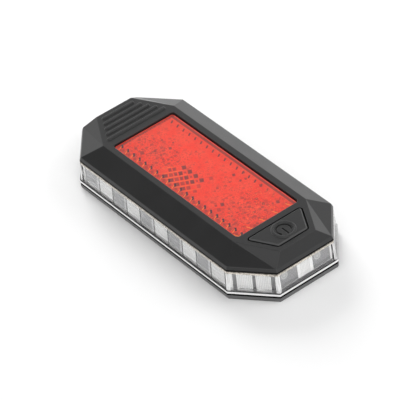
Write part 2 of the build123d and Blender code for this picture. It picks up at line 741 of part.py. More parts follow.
def end_panes():
    """Grey panes of the key end, one in the mouth of each lit pocket."""
    out = END_X + FRAME_OUT - PANE_RECESS
    half = (END_CELL - CELL_WALL) / 2 - PANE_GAP
    low, high = CELL_LOW + PANE_GAP, CELL_HIGH - PANE_GAP
    return [box(out - PANE_THICKNESS, out, y - half, y + half, low, high) for y in end_cell_places()]


def light_chamber():
    """White frame on the board, round the lights under the reflector."""
    wide = 2 * CHAMBER_WALL
    high = FLANGE_UNDER - CHAMBER_GAP
    length, width = WINDOW_LENGTH + wide, WINDOW_WIDTH + wide
    frame = rounded_plate(WINDOW_X, length, width, WINDOW_CORNER + CHAMBER_WALL, BOARD_TOP, high)
    low = BOARD_TOP - PAST
    return frame - rounded_plate(WINDOW_X, WINDOW_LENGTH, WINDOW_WIDTH, WINDOW_CORNER, low, high + PAST)


def led():
    """Light source standing on Z = 0."""
    half = LED_SIZE / 2
    base = chamfer(box(-half, half, -half, half, 0, LED_BASE).edges().filter_by(Axis.Z), LED_CORNER)
    sphere = (LED_DOME_RADIUS ** 2 + LED_DOME_HEIGHT ** 2) / (2 * LED_DOME_HEIGHT)
    dome_top = LED_BASE + LED_DOME_HEIGHT
    dome = Pos(0, 0, dome_top - sphere) * Sphere(sphere)
    return base + (dome & box(-half, half, -half, half, LED_BASE / 2, dome_top + PAST))


def side_leds(side):
    """Lights of one long side, in its pockets."""
    y = side * (SIDE_Y + STRIP_OUT)
    return [Pos(x, y, CELL_MIDDLE) * Rot(-side * 90, 0, 0) * led() for x, _ in side_cell_places()]


def end_leds():
    """Lights of the key end."""
    return [Pos(END_X + STRIP_OUT, y, CELL_MIDDLE) * Rot(0, 90, 0) * led() for y in end_cell_places()]


def rear_led_places():
    """Places of the lights under the reflector."""
    start = WINDOW_X - REAR_LED_PITCH_X * (REAR_LED_COLUMNS - 1) / 2
    columns = [start + REAR_LED_PITCH_X * i for i in range(REAR_LED_COLUMNS)]
    return [(x, side * REAR_LED_PITCH_Y / 2) for x in columns for side in (-1, 1)]


def rear_leds():
    """Lights on the board under the reflector."""
    return [Pos(x, y, BOARD_TOP) * led() for x, y in rear_led_places()]


def side_strip(side):
    """Thin circuit strip that carries the lights of one long side."""
    half = END_X - LIP_CUT_X - FRAME_GAP
    near, far = sorted((side * (SIDE_Y + STRIP_OUT), side * (SIDE_Y + STRIP_IN)))
    return box(-half, half, near, far, STRIP_LOW, BOARD_TOP)


def end_strip():
    """Thin circuit strip that carries the lights of the key end."""
    half = END_BLOCK / 2 + END_CELL
    return box(END_X + STRIP_IN, END_X + STRIP_OUT, -half, half, STRIP_LOW, BOARD_TOP)


def board():
    """Main circuit board with pin holes and a tongue over the charging socket."""
    edge = STRIP_IN - BOARD_SIDE_GAP
    corner = -(SCREW_FROM_CORNER + BOSS_RADIUS + BOARD_CORNER_GAP)
    plate = prism(lip(edge, edge, corner), BOARD_BOTTOM, BOARD_TOP)
    half = BOARD_TONGUE_WIDTH / 2
    plate += box(SOCKET_MOUTH + BOARD_TONGUE_GAP, 0, -half, half, BOARD_BOTTOM, BOARD_TOP)
    for x, y in post_places():
        plate -= rod(x, y, PIN_RADIUS + PIN_GAP, BOARD_BOTTOM - PAST, BOARD_TOP + PAST)
    return plate


def chip(x, y, length, width, height, under=False):
    """Low block part on the board, or hanging under it."""
    low = BOARD_BOTTOM - height if under else BOARD_TOP
    return box(x - length / 2, x + length / 2, y - width / 2, y + width / 2, low, low + height)


def controller_chip():
    """Controller in the middle of the board."""
    body = chip(WINDOW_X, 0, CONTROLLER_SIZE, CONTROLLER_SIZE, CONTROLLER_HEIGHT)
    return chamfer(body.edges().filter_by(Axis.Z), CHIP_CORNER)


def charger_chip():
    """Charging controller near the port."""
    body = chip(-POST_X - CHARGER_FROM_POST, CHARGER_Y, CHARGER_SIZE, CHARGER_SIZE, CHARGER_HEIGHT)
    return chamfer(body.edges().filter_by(Axis.Z), CHIP_CORNER)


def inductor():
    """Coil block of the light driver, under the board."""
    x = -POST_X - INDUCTOR_FROM_POST
    body = chip(x, 0, INDUCTOR_SIZE, INDUCTOR_SIZE, INDUCTOR_HEIGHT, under=True)
    return chamfer(body.edges().filter_by(Axis.Z), INDUCTOR_CORNER)


def resistors():
    """One resistor beside each light under the reflector."""
    beside = LED_SIZE / 2 + RESISTOR_GAP + RESISTOR_WIDTH / 2
    places = rear_led_places()
    return [chip(x + beside, y, RESISTOR_WIDTH, RESISTOR_LENGTH, RESISTOR_HEIGHT) for x, y in places]


def capacitors():
    """Capacitors round the controller and beside the charging controller."""
    half = CAPACITOR_SPACING / 2
    beside = CONTROLLER_SIZE / 2 + CAPACITOR_GAP + CAPACITOR_WIDTH / 2
    below = CHARGER_Y - CHARGER_SIZE / 2 - CAPACITOR_GAP - CAPACITOR_LENGTH / 2
    places = [(WINDOW_X + sx * beside, sy * half) for sx in (-1, 1) for sy in (-1, 1)]
    places += [(-POST_X - CHARGER_FROM_POST + sx * half, below) for sx in (-1, 1)]
    return [chip(x, y, CAPACITOR_WIDTH, CAPACITOR_LENGTH, CAPACITOR_HEIGHT) for x, y in places]


def charge_light():
    """Small charging light near the port."""
    x = -POST_X - CHARGE_LIGHT_FROM_POST
    y = CHARGE_LIGHT_FROM_POST_Y - POST_Y
    return chip(x, y, CHARGE_LIGHT_LENGTH, CHARGE_LIGHT_WIDTH, CHARGE_LIGHT_HEIGHT)


def battery():
    """Flat pouch cell."""
    half_l, half_w = BATTERY_LENGTH / 2, BATTERY_WIDTH / 2
    pouch = box(-half_l, half_l, -half_w, half_w, BATTERY_BOTTOM, BATTERY_TOP)
    pouch = fillet(pouch.edges().filter_by(Axis.Z), BATTERY_CORNER)
    return fillet(pouch.edges().filter_by(GeomType.LINE).filter_by(Axis.X), BATTERY_EDGE)


def battery_board():
    """Protection board folded against the end of the pouch."""
    x = BATTERY_LENGTH / 2
    half = BATTERY_WIDTH / 2 - CELL_BOARD_INSET
    thick = CELL_BOARD_THICKNESS / 2
    return box(x, x + CELL_BOARD_LENGTH, -half, half, BATTERY_MIDDLE - thick, BATTERY_MIDDLE + thick)


def battery_lead(side):
    """Insulated lead from the protection board up to the main board."""
    x0 = BATTERY_LENGTH / 2 + CELL_BOARD_LENGTH
    x1 = x0 + LEAD_RUN
    y = side * LEAD_SPACING / 2
    points = [(x0, y, BATTERY_MIDDLE), (x1, y, BATTERY_MIDDLE), (x1, y, BOARD_BOTTOM)]
    route = FilletPolyline(*points, radius=LEAD_BEND)
    return sweep(Plane(route @ 0, z_dir=route % 0) * Circle(LEAD_RADIUS), path=route)


def battery_tape():
    """Foam tape between the pouch and the roof of the bracket slot."""
    half_l = SLOT_LENGTH / 2
    half_w = SLOT_WIDTH / 2
    return box(-half_l, half_l, -half_w, half_w, SLOT_TOP, BATTERY_BOTTOM)


def usb_shell():
    """Steel shell of the charging socket, hanging under the board's tongue."""
    outer = Plane.YZ * RectangleRounded(SOCKET_WIDTH, SOCKET_HEIGHT, SOCKET_ROUND)
    bore_width = SOCKET_WIDTH - 2 * SOCKET_WALL
    bore_height = SOCKET_HEIGHT - 2 * SOCKET_WALL
    bore = Plane.YZ * RectangleRounded(bore_width, bore_height, SOCKET_ROUND - SOCKET_WALL)
    shell = Pos(SOCKET_MOUTH, 0, PORT_CENTRE_Z) * extrude(outer, SOCKET_LENGTH)
    deep = SOCKET_LENGTH - SOCKET_WALL + PAST
    return shell - Pos(SOCKET_MOUTH - PAST, 0, PORT_CENTRE_Z) * extrude(bore, deep)


def usb_blade():
    """Contact blade inside the charging socket."""
    x1 = SOCKET_MOUTH + SOCKET_LENGTH - SOCKET_WALL
    half = SOCKET_BLADE_WIDTH / 2
    low = PORT_CENTRE_Z - SOCKET_BLADE_HEIGHT / 2
    return box(x1 - SOCKET_BLADE_LENGTH, x1, -half, half, low, low + SOCKET_BLADE_HEIGHT)


def strap_peg(radius):
    """Peg of the strap through the clear band, into the frame."""
    x0 = -LENS_END_X + STRAP_THICKNESS - SINK
    x1 = -END_X - FRAME_OUT + STRAP_PEG_REACH
    place = Pos((x0 + x1) / 2, STRAP_Y + STRAP_LENGTH / 2, PORT_CENTRE_Z)
    return place * Rot(0, 90, 0) * Cylinder(radius, x1 - x0)


def port_strap():
    """Fixed end of the port cover's rubber strap, with its peg."""
    x0 = -LENS_END_X
    x1 = x0 + STRAP_THICKNESS
    half = STRAP_HEIGHT / 2
    tab = box(x0, x1, STRAP_Y, STRAP_Y + STRAP_LENGTH, PORT_CENTRE_Z - half, PORT_CENTRE_Z + half)
    return tab + strap_peg(STRAP_PEG_RADIUS)


def port_cover():
    """Rubber cover of the charging port: a plate, a sealing rim, a tongue, a nail tab and the strap."""
    x0 = -LENS_END_X
    cover = port_box(-PORT_COVER_GAP, x0, x0 + PORT_PLUG_DEPTH)
    cover = fillet(cover.edges().filter_by(Axis.X), PORT_COVER_ROUND)
    inside = -PORT_COVER_GAP - PORT_COVER_WALL
    cover -= port_box(inside, x0 + PORT_PLATE, x0 + PORT_PLUG_DEPTH + PAST)
    start = x0 + PORT_PLATE - SINK
    straight = SOCKET_MOUTH - start
    root = Plane(origin=(start, 0, PORT_CENTRE_Z), z_dir=(1, 0, 0), x_dir=(0, 1, 0))
    section = Rectangle(PORT_TONGUE_WIDTH, PORT_TONGUE_HEIGHT)
    tip = Rectangle(PORT_TIP_WIDTH, PORT_TIP_HEIGHT)
    cover += extrude(root * section, straight)
    cover += loft([root.offset(straight) * section, root.offset(straight + PORT_TONGUE_REACH) * tip])
    edge = PORT_WIDTH / 2 - PORT_COVER_GAP
    half = PORT_TAB_HEIGHT / 2
    tab_y = -edge + PORT_COVER_ROUND
    low, high = PORT_CENTRE_Z - half, PORT_CENTRE_Z + half
    cover += box(x0 - PORT_TAB_PROUD, x0 + SINK, tab_y, tab_y + PORT_TAB_WIDTH, low, high)
    half = STRAP_HEIGHT / 2
    low, high = PORT_CENTRE_Z - half, PORT_CENTRE_Z + half
    return cover + box(x0, x0 + STRAP_BEND_THICKNESS, edge - SINK, HINGE_Y - STRAP_BEND_GAP, low, high)


def bottom_cover():
    """Back cover with the bracket slot, the board posts, the battery rails and the screw seats."""
    inside = BASE_BEVEL
    cover = drafted(lip(BASE_BOTTOM_OUT), 0, lip(BASE_OUT), BASE_BEVEL)
    cover += prism(lip(BASE_OUT), BASE_BEVEL, BASE_THICKNESS)
    half_l = SLOT_LENGTH / 2
    half_w = SLOT_WIDTH / 2
    long_half, wide_half = half_l + SLOT_ROOF, half_w + SLOT_ROOF
    cover += box(-long_half, long_half, -wide_half, wide_half, inside, SLOT_TOP)
    locator_out = FRAME_IN - FRAME_GAP
    locator_in = locator_out - LOCATOR_WIDTH
    cover += ring(lip(locator_out), lip(locator_in), inside, BASE_THICKNESS + LOCATOR_HEIGHT)
    for x, y in post_places():
        cover += rod(x, y, POST_RADIUS, inside, BOARD_BOTTOM)
        cover += rod(x, y, PIN_RADIUS, inside, BOARD_TOP + PIN_PROUD)
    half = BATTERY_RAIL_LENGTH / 2
    for side in (-1, 1):
        near, far = sorted((side * RAIL_OUT, side * (RAIL_OUT - BATTERY_RAIL)))
        cover += box(-half, half, near, far, inside, BASE_THICKNESS + BATTERY_RAIL_HEIGHT)
    head = SCREW_HEAD_RADIUS + SCREW_GAP
    for x, y in screw_places():
        cover += rod(x, y, head + SCREW_CUP_WALL, inside, BOSS_FOOT)
        cover -= rod(x, y, head, -PAST, SCREW_SEAT_Z)
        cover -= rod(x, y, SCREW_RADIUS + SCREW_GAP, -PAST, BOSS_FOOT + PAST)
    opening = half_w - SLOT_LIP
    cover -= box(-half_l, half_l, -half_w, half_w, SLOT_LIP_THICKNESS, SLOT_DEPTH)
    cover -= box(-half_l, -half_l + SLOT_ENTRY, -half_w, half_w, -PAST, SLOT_DEPTH)
    cover -= box(-half_l, half_l - SLOT_LIP, -opening, opening, -PAST, SLOT_DEPTH)
    return cover


def cover_screw(x, y):
    """Pan head screw with a cross recess, pointing up."""
    head = rod(x, y, SCREW_HEAD_RADIUS, SCREW_RECESS, SCREW_SEAT_Z)
    head = fillet(head.faces().sort_by(Axis.Z)[0].edges(), SCREW_HEAD_ROUND)
    screw = head + rod(x, y, SCREW_RADIUS, SCREW_SEAT_Z, SCREW_SEAT_Z + SCREW_LENGTH)
    arm = SCREW_CROSS_LENGTH / 2
    half = SCREW_CROSS_WIDTH / 2
    low, high = SCREW_RECESS - PAST, SCREW_RECESS + SCREW_CROSS_DEPTH
    screw -= box(x - arm, x + arm, y - half, y + half, low, high)
    screw -= box(x - half, x + half, y - arm, y + arm, low, high)
    return screw


NODES = {
    "top_cover": top_cover,
    "reflector": reflector,
    "reflector_tape": reflector_tape,
    "power_button": power_key,
    "button_gasket": key_gasket,
    "switch_body": switch_body,
    "switch_plunger": switch_plunger,
    "switch_dome": switch_dome,
    "side_lens": side_lens,
    "top_gasket": top_gasket,
    "base_gasket": base_gasket,
    "cell_frame": cell_frame,
    "near_side_panes": lambda: side_panes(-1),
    "far_side_panes": lambda: side_panes(1),
    "button_end_panes": end_panes,
    "near_side_leds": lambda: side_leds(-1),
    "far_side_leds": lambda: side_leds(1),
    "button_end_leds": end_leds,
    "near_led_strip": lambda: side_strip(-1),
    "far_led_strip": lambda: side_strip(1),
    "button_end_led_strip": end_strip,
    "main_board": board,
    "light_chamber": light_chamber,
    "rear_leds": rear_leds,
    "controller_chip": controller_chip,
    "charger_chip": charger_chip,
    "driver_inductor": inductor,
    "resistors": resistors,
    "capacitors": capacitors,
    "charge_light": charge_light,
    "battery": battery,
    "battery_board": battery_board,
    "battery_lead_near": lambda: battery_lead(-1),
    "battery_lead_far": lambda: battery_lead(1),
    "battery_tape": battery_tape,
    "usb_shell": usb_shell,
    "usb_blade": usb_blade,
    "port_cover": port_cover,
    "port_strap": port_strap,
    "bottom_cover": bottom_cover,
    "cover_screws": lambda: [cover_screw(x, y) for x, y in screw_places()],
}

os.makedirs("parts", exist_ok=True)
for name, make in NODES.items():
    shape = make()
    if isinstance(shape, list):
        shape = Compound(children=shape)
    export_step(shape, f"parts/{name}.step")
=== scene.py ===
import math

import bpy
from mathutils import Matrix, Vector


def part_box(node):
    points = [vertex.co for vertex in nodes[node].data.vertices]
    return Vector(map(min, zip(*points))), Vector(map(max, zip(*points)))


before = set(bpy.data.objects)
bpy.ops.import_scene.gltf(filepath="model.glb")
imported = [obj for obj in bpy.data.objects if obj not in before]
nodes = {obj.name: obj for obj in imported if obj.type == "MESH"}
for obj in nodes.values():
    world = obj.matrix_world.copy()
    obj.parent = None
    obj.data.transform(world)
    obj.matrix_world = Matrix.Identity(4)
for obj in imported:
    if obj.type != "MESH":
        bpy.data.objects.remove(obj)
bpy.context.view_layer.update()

MM = 0.001


def limits(name):
    """Lowest and highest corner of a node, in millimetres."""
    return [[length / MM for length in corner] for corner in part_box(name)]


# Camera, fitted to the corners of the case in the photo: angles in degrees, lengths in millimetres
AZIMUTH = 56.49
ELEVATION = 39.5
ROLL = -7.63
DISTANCE = 997.0
SHIFT_RIGHT = -2.53
SHIFT_UP = 3.07
FOCAL_PIXELS = 3103.0
IMAGE_WIDTH = 400.0
SENSOR = 36.0

# Nearest and farthest place the camera sees, in metres
CLIP_START = 0.01
CLIP_END = 50


def place_camera():
    """Camera at the photo's viewing angle."""
    az, el, roll = (math.radians(angle) for angle in (AZIMUTH, ELEVATION, ROLL))
    back = Vector((math.sin(az) * math.cos(el), -math.cos(az) * math.cos(el), math.sin(el)))
    right = Vector((math.cos(az), math.sin(az), 0))
    up = back.cross(right)
    turned_right = right * math.cos(roll) + up * math.sin(roll)
    turned_up = up * math.cos(roll) - right * math.sin(roll)
    centre = (back * DISTANCE + turned_right * SHIFT_RIGHT + turned_up * SHIFT_UP) * MM
    data = bpy.data.cameras.new("camera")
    data.sensor_width = SENSOR
    data.lens = FOCAL_PIXELS * SENSOR / IMAGE_WIDTH
    data.clip_start = CLIP_START
    data.clip_end = CLIP_END
    camera = bpy.data.objects.new("camera", data)
    turn = Matrix((turned_right, turned_up, back)).transposed()
    camera.matrix_world = Matrix.Translation(centre) @ turn.to_4x4()
    bpy.context.scene.collection.objects.link(camera)
    bpy.context.scene.camera = camera


# Sockets of the mix node that carry its factor, its two colours and its result
MIX_FACTOR = 0
MIX_FIRST = 6
MIX_SECOND = 7
MIX_RESULT = 2


class Tree:
    """Short helper round a node tree."""

    def __init__(self, tree):
        self.tree = tree
        tree.nodes.clear()

    def add(self, kind, inputs=None, **settings):
        """New node with its settings; inputs are values or sockets to link, by name or index."""
        node = self.tree.nodes.new(kind)
        for key, value in settings.items():
            setattr(node, key, value)
        for key, value in (inputs or {}).items():
            if isinstance(value, bpy.types.NodeSocket):
                self.tree.links.new(value, node.inputs[key])
            else:
                node.inputs[key].default_value = value
        return node

    def math(self, operation, *values):
        return self.add("ShaderNodeMath", dict(enumerate(values)), operation=operation).outputs[0]

    def minus(self, first, second):
        return self.math("SUBTRACT", first, second)

    def times(self, first, *others):
        """Product of two or more values."""
        for other in others:
            first = self.math("MULTIPLY", first, other)
        return first

    def most(self, first, *others):
        """Largest of two or more values."""
        for other in others:
            first = self.math("MAXIMUM", first, other)
        return first

    def squares(self, a, b):
        """Sum of the squares of two values."""
        return self.math("MULTIPLY_ADD", a, a, self.math("MULTIPLY", b, b))

    def distance(self, a, b):
        return self.math("SQRT", self.squares(a, b))

    def vector(self, operation, *values):
        node = self.add("ShaderNodeVectorMath", dict(enumerate(values)), operation=operation)
        return node.outputs["Value" if operation == "DOT_PRODUCT" else "Vector"]

    def ramp(self, value, low, high, to_low=0.0, to_high=1.0, kind="SMOOTHSTEP"):
        """Value carried from one range to another, held at its ends."""
        inputs = {"Value": value, "From Min": low, "From Max": high, "To Min": to_low, "To Max": to_high}
        return self.add("ShaderNodeMapRange", inputs, interpolation_type=kind).outputs[0]

    def mix_colour(self, factor, first, second):
        inputs = {MIX_FACTOR: factor, MIX_FIRST: first, MIX_SECOND: second}
        return self.add("ShaderNodeMix", inputs, data_type="RGBA").outputs[MIX_RESULT]

    def noise(self, place, scale, detail):
        inputs = {"Vector": place, "Scale": scale, "Detail": detail}
        return self.add("ShaderNodeTexNoise", inputs).outputs["Fac"]

    def principled(self, inputs):
        return self.add("ShaderNodeBsdfPrincipled", inputs).outputs[0]

    def surface(self, shader):
        self.add("ShaderNodeOutputMaterial", {"Surface": shader})


def colour(r, g, b):
    return (r, g, b, 1.0)


def grey(level):
    return colour(level, level, level)


def scaled(base, factor):
    """Base colour made darker or lighter."""
    return colour(*(min(1.0, part * factor) for part in base))


# Surroundings: brightness near the horizon and overhead, and the heights between which it changes
SKY_LOW = 1.08
SKY_HIGH = 0.66
SKY_FROM = 0.15
SKY_TO = 0.5

# Panels of the surroundings, as the tones of the facets tell: direction, inner and outer angle, brightness
SKY_LOBES = [
    ((-0.436, -0.205, 0.877), 23.0, 31.0, 0.0),
    ((-0.13, -0.53, 0.85), 9.0, 16.0, 1.7),
    ((0.643, -0.427, 0.636), 18.0, 30.0, 1.35),
    ((0.46, -0.89, 0.1), 10.0, 20.0, 0.4),
    ((-0.9, 0.42, 0.1), 12.0, 28.0, 1.6),
    ((-0.38, 0.92, 0.13), 10.0, 20.0, 1.5),
]


def make_world():
    """A soft white studio with lighter and darker panels, the same for every ray."""
    world = bpy.data.worlds.new("studio")
    bpy.context.scene.world = world
    world.use_nodes = True
    t = Tree(world.node_tree)
    direction = t.add("ShaderNodeTexCoord").outputs["Generated"]
    unit = t.vector("NORMALIZE", direction)
    z = t.add("ShaderNodeSeparateXYZ", {0: unit}).outputs["Z"]
    value = t.ramp(z, SKY_FROM, SKY_TO, SKY_LOW, SKY_HIGH)
    for towards, inner, outer, level in SKY_LOBES:
        dot = t.vector("DOT_PRODUCT", unit, tuple(Vector(towards).normalized()))
        share = t.ramp(dot, math.cos(math.radians(outer)), math.cos(math.radians(inner)))
        kept = t.times(value, t.minus(1.0, share))
        value = t.math("ADD", kept, t.times(share, level))
    background = t.add("ShaderNodeBackground", {"Color": grey(1), "Strength": value})
    t.add("ShaderNodeOutputWorld", {"Surface": background.outputs[0]})


# Lamps: name, place and size in metres, power in watts
LAMPS = [
    ("left_key", (-0.74, 0.24, 0.42), (0.4, 0.4), 4.5),
    ("right_key", (0.4, 0.58, 0.5), (0.5, 0.5), 1.7),
    ("near_fill", (-0.5, -0.62, 0.09), (0.7, 0.16), 1.4),
    ("end_fill", (0.75, -0.2, 0.15), (0.4, 0.2), 1.1),
]


def make_lights():
    """Two large soft lamps behind the far side, and low ones before the near side and the key end."""
    for name, place, size, power in LAMPS:
        data = bpy.data.lights.new(name, "AREA")
        data.shape = "RECTANGLE"
        data.size, data.size_y = size
        data.energy = power
        lamp = bpy.data.objects.new(name, data)
        place = Vector(place)
        lamp.matrix_world = Matrix.Translation(place) @ place.to_track_quat("Z", "Y").to_matrix().to_4x4()
        lamp.visible_glossy = False
        bpy.context.scene.collection.objects.link(lamp)


# Floor: tone, half width in metres, and the opening hidden under the back, in millimetres
FLOOR_WHITE = 0.93
FLOOR_HALF = 4.0
BACK_INSET = 0.35
BACK_X, BACK_Y = (length - BACK_INSET for length in limits("bottom_cover")[1][:2])
BACK_CUT_X = 12.71
BACK_CUT_Y = 10.5


def octagon(x, y, cut_x, cut_y):
    """Corners of a rectangle of two half widths with its corners cut off, on the floor."""
    return [(-x, cut_y - y, 0), (cut_x - x, -y, 0), (x - cut_x, -y, 0), (x, cut_y - y, 0),
            (x, y - cut_y, 0), (x - cut_x, y, 0), (cut_x - x, y, 0), (-x, y - cut_y, 0)]


def new_material(name):
    """Material and the helper for its empty tree."""
    material = bpy.data.materials.new(name)
    material.use_nodes = True
    return material, Tree(material.node_tree)


def make_floor():
    """White floor, part of the stage, left open where the back of the object covers it."""
    outer = octagon(FLOOR_HALF, FLOOR_HALF, FLOOR_HALF / 2, FLOOR_HALF / 2)
    inner = octagon(*(length * MM for length in (BACK_X, BACK_Y, BACK_CUT_X, BACK_CUT_Y)))
    count = len(inner)
    faces = [(i, (i + 1) % count, count + (i + 1) % count, count + i) for i in range(count)]
    mesh = bpy.data.meshes.new("floor")
    mesh.from_pydata(outer + inner, [], faces)
    floor = bpy.data.objects.new("floor", mesh)
    bpy.context.scene.collection.objects.link(floor)
    material, t = new_material("floor_white")
    t.surface(t.add("ShaderNodeBsdfDiffuse", {"Color": grey(FLOOR_WHITE)}).outputs[0])
    mesh.materials.append(material)


# Fine bump of a surface: scale per metre, strength, distance in metres, detail
MOULDED = (4500.0, 0.25, 0.00004, 3.0)
SMOOTH = (4500.0, 0.05, 0.00004, 3.0)
SMOOTHER = (4500.0, 0.03, 0.00004, 3.0)
SMOKED = (900.0, 0.05, 0.00004, 3.0)
CREASED = (900.0, 0.25, 0.0001, 3.0)
CLEAR = (300.0, 0.02, 0.0002, 1.0)

# Broad cloud in moulded plastic: scale per metre, detail, the values between which it changes
BROAD_SCALE = 90.0
BROAD_DETAIL = 4.0
BROAD_FROM = 0.3
BROAD_TO = 0.7

# Share by which colour and roughness vary, in common plastic and in the housing's
COLOUR_SPREAD = 0.12
ROUGH_SPREAD = 0.08
HOUSING_ROUGH_SPREAD = 0.06


def grain(t, skin, **more):
    """Bump of fine noise in the object's own coordinates, and the noise itself."""
    scale, strength, distance, detail = skin
    fine = t.noise(t.add("ShaderNodeTexCoord").outputs["Object"], scale, detail)
    inputs = {"Strength": strength, "Distance": distance, "Height": fine, **more}
    return t.add("ShaderNodeBump", inputs).outputs[0], fine


def mottle(t, fine, broad, base, spread):
    """Base colour, varied by half of each of two noises."""
    share = t.math("MULTIPLY_ADD", fine, 0.5, t.times(broad, 0.5))
    return t.mix_colour(share, scaled(base, 1 - spread), scaled(base, 1 + spread))


def plastic(name, base, rough, skin=MOULDED, spread=COLOUR_SPREAD, metallic=0.0):
    """Moulded material with a fine grain in its bump, its roughness and a little in its colour."""
    material, t = new_material(name)
    normal, fine = grain(t, skin)
    broad = t.noise(t.add("ShaderNodeTexCoord").outputs["Object"], BROAD_SCALE, BROAD_DETAIL)
    least, greatest = rough * (1 - ROUGH_SPREAD), rough * (1 + ROUGH_SPREAD)
    t.surface(t.principled({
        "Base Color": mottle(t, fine, broad, base, spread), "Metallic": metallic, "Normal": normal,
        "Roughness": t.ramp(broad, BROAD_FROM, BROAD_TO, least, greatest),
    }))
    return material


def millimetres(t):
    """Object coordinates in millimetres, as three sockets and as one."""
    place = t.add("ShaderNodeTexCoord").outputs["Object"]
    larger = t.add("ShaderNodeVectorMath", {0: place, "Scale": 1 / MM}, operation="SCALE").outputs["Vector"]
    parts = t.add("ShaderNodeSeparateXYZ", {0: larger}).outputs
    return parts["X"], parts["Y"], parts["Z"], larger


def wrap(t, value, start, pitch):
    """Distance from the nearest of evenly spaced places."""
    return t.math("WRAP", t.minus(value, start), pitch / 2, -pitch / 2)


def within(t, value, half, soft):
    """One where a value lies within a half width of zero, with a soft edge."""
    return t.ramp(t.math("ABSOLUTE", value), half - soft, half + soft, 1.0, 0.0)


def turned(t, x, y, degrees):
    """Coordinates along and across a direction."""
    c, s = math.cos(math.radians(degrees)), math.sin(math.radians(degrees))
    along = t.math("MULTIPLY_ADD", x, c, t.times(y, s))
    across = t.math("MULTIPLY_ADD", x, -s, t.times(y, c))
    return along, across


def patch(t, x, y, degrees, half_along, half_across, soft):
    """Soft rectangle about the origin, turned by an angle."""
    along, across = turned(t, x, y, degrees)
    return t.times(within(t, along, half_along, soft), within(t, across, half_across, soft))


def ellipse(t, x, y, zone):
    """One inside an ellipse, falling off to its rim."""
    (centre_x, centre_y), (half_x, half_y), soft = zone
    dx = t.math("DIVIDE", t.minus(x, centre_x), half_x)
    dy = t.math("DIVIDE", t.minus(y, centre_y), half_y)
    return t.ramp(t.squares(dx, dy), 1.0 - soft, 1.0 + soft, 1.0, 0.0)


# Black housing: radius of its soft edges in metres, how far their normal turns, the least tone of their
# painted highlight, gloss
EDGE_RADIUS = 0.00025
EDGE_SAMPLES = 6
EDGE_FROM = 0.9995
EDGE_TO = 0.982
EDGE_HIGHLIGHT_TONE = 0.05
HOUSING_GLOSS = 0.46

# Bands of painted shade and painted light: softness in millimetres, tone below which a band is a painted
# shadow gap, gloss of such a gap
BAND_SOFT = 0.04
SHADOW_GAP_TONE = 0.01
SHADOW_GAP_GLOSS = 0.03

# Bands of the covers and the key, in millimetres: from, to, tone. On the top cover painted shadow under the
# lip and painted light on the walls of the ribs, on the key painted light on its walls, on the bottom cover
# a darker strip along its lowest edge and painted shadow in the gap under the flange
COVER_SHADE_AND_LIGHT_BANDS = [(10.6, 11.2, 0.003), (15.74, 16.0, 0.03)]
KEY_LIGHT_BANDS = [(15.72, 16.07, 0.06)]
BASE_BANDS = [(0.0, 0.25, 0.02), (1.6, 3.0, 0.003)]

# Engraved sign of the key, in millimetres: middle, reach, height below which it carries painted shade; the
# tone of that shade
SIGN_X = 40.5
SIGN_REACH = 3.1
SIGN_TOP = 16.06
SIGN_SHADE_TONE = 0.002


def housing(name, base, rough, light_and_shade_bands, sign=False):
    """Black moulded plastic with soft edges, made slightly lighter by a painted highlight, with bands of
    painted shade and painted light between given heights, and painted shade in the engraved sign if it has
    one.
    """
    material, t = new_material(name)
    x, y, z, place = millimetres(t)
    rounded = t.add("ShaderNodeBevel", {"Radius": EDGE_RADIUS}, samples=EDGE_SAMPLES).outputs[0]
    true = t.add("ShaderNodeNewGeometry").outputs["True Normal"]
    # painted highlight along the soft edges, where the rounded normal turns from the true one
    edge = t.ramp(t.vector("DOT_PRODUCT", rounded, true), EDGE_FROM, EDGE_TO)
    normal, fine = grain(t, MOULDED, Normal=rounded)
    broad = t.noise(place, BROAD_SCALE * MM, BROAD_DETAIL)
    tone = mottle(t, fine, broad, base, COLOUR_SPREAD)
    tone = t.mix_colour(edge, tone, colour(*(max(part, EDGE_HIGHLIGHT_TONE) for part in base)))
    gloss = HOUSING_GLOSS
    for low, high, level in light_and_shade_bands:
        # bands of painted shade and painted light between given heights
        light_and_shade_band = within(t, t.minus(z, (low + high) / 2), (high - low) / 2, BAND_SOFT)
        tone = t.mix_colour(light_and_shade_band, tone, grey(level))
        # a band darker than the gap tone is a painted shadow gap and loses its gloss as well
        if level < SHADOW_GAP_TONE:
            gloss = t.ramp(light_and_shade_band, 0.0, 1.0, HOUSING_GLOSS, SHADOW_GAP_GLOSS)
    if sign:
        # painted shade in the engraved recess of the sign
        away = t.distance(t.minus(x, SIGN_X), y)
        sign_shade = t.times(t.math("LESS_THAN", away, SIGN_REACH), t.math("LESS_THAN", z, SIGN_TOP))
        tone = t.mix_colour(sign_shade, tone, grey(SIGN_SHADE_TONE))
    least, greatest = rough * (1 - HOUSING_ROUGH_SPREAD), rough * (1 + HOUSING_ROUGH_SPREAD)
    t.surface(t.principled({
        "Base Color": tone, "Roughness": t.ramp(broad, BROAD_FROM, BROAD_TO, least, greatest),
        "Specular IOR Level": gloss, "Normal": normal,
    }))
    return material


def let_lamps_through(t, shader, passed):
    """Surface of a clear piece: lamps light what is behind it, in the passed colour."""
    through = t.add("ShaderNodeBsdfTransparent", {"Color": passed}).outputs[0]
    shadow = t.add("ShaderNodeLightPath").outputs["Is Shadow Ray"]
    t.surface(t.add("ShaderNodeMixShader", {0: shadow, 1: shader, 2: through}).outputs[0])


# Grey panes, in millimetres: middle of one cell, spacing, start of its lighter strip, softness; its tone
PANE_X = 10.875
PANE_PITCH = 14.5
PANE_STRIP = 2.2
PANE_SOFT = 0.1
PANE_STRIP_TONE = 0.86

# Cloud in the panes: scale per millimetre, detail, factors of its darkest and lightest tone
PANE_CLOUD = 0.35
PANE_DETAIL = 2.0
PANE_DARK = 0.88
PANE_LIGHT = 1.14

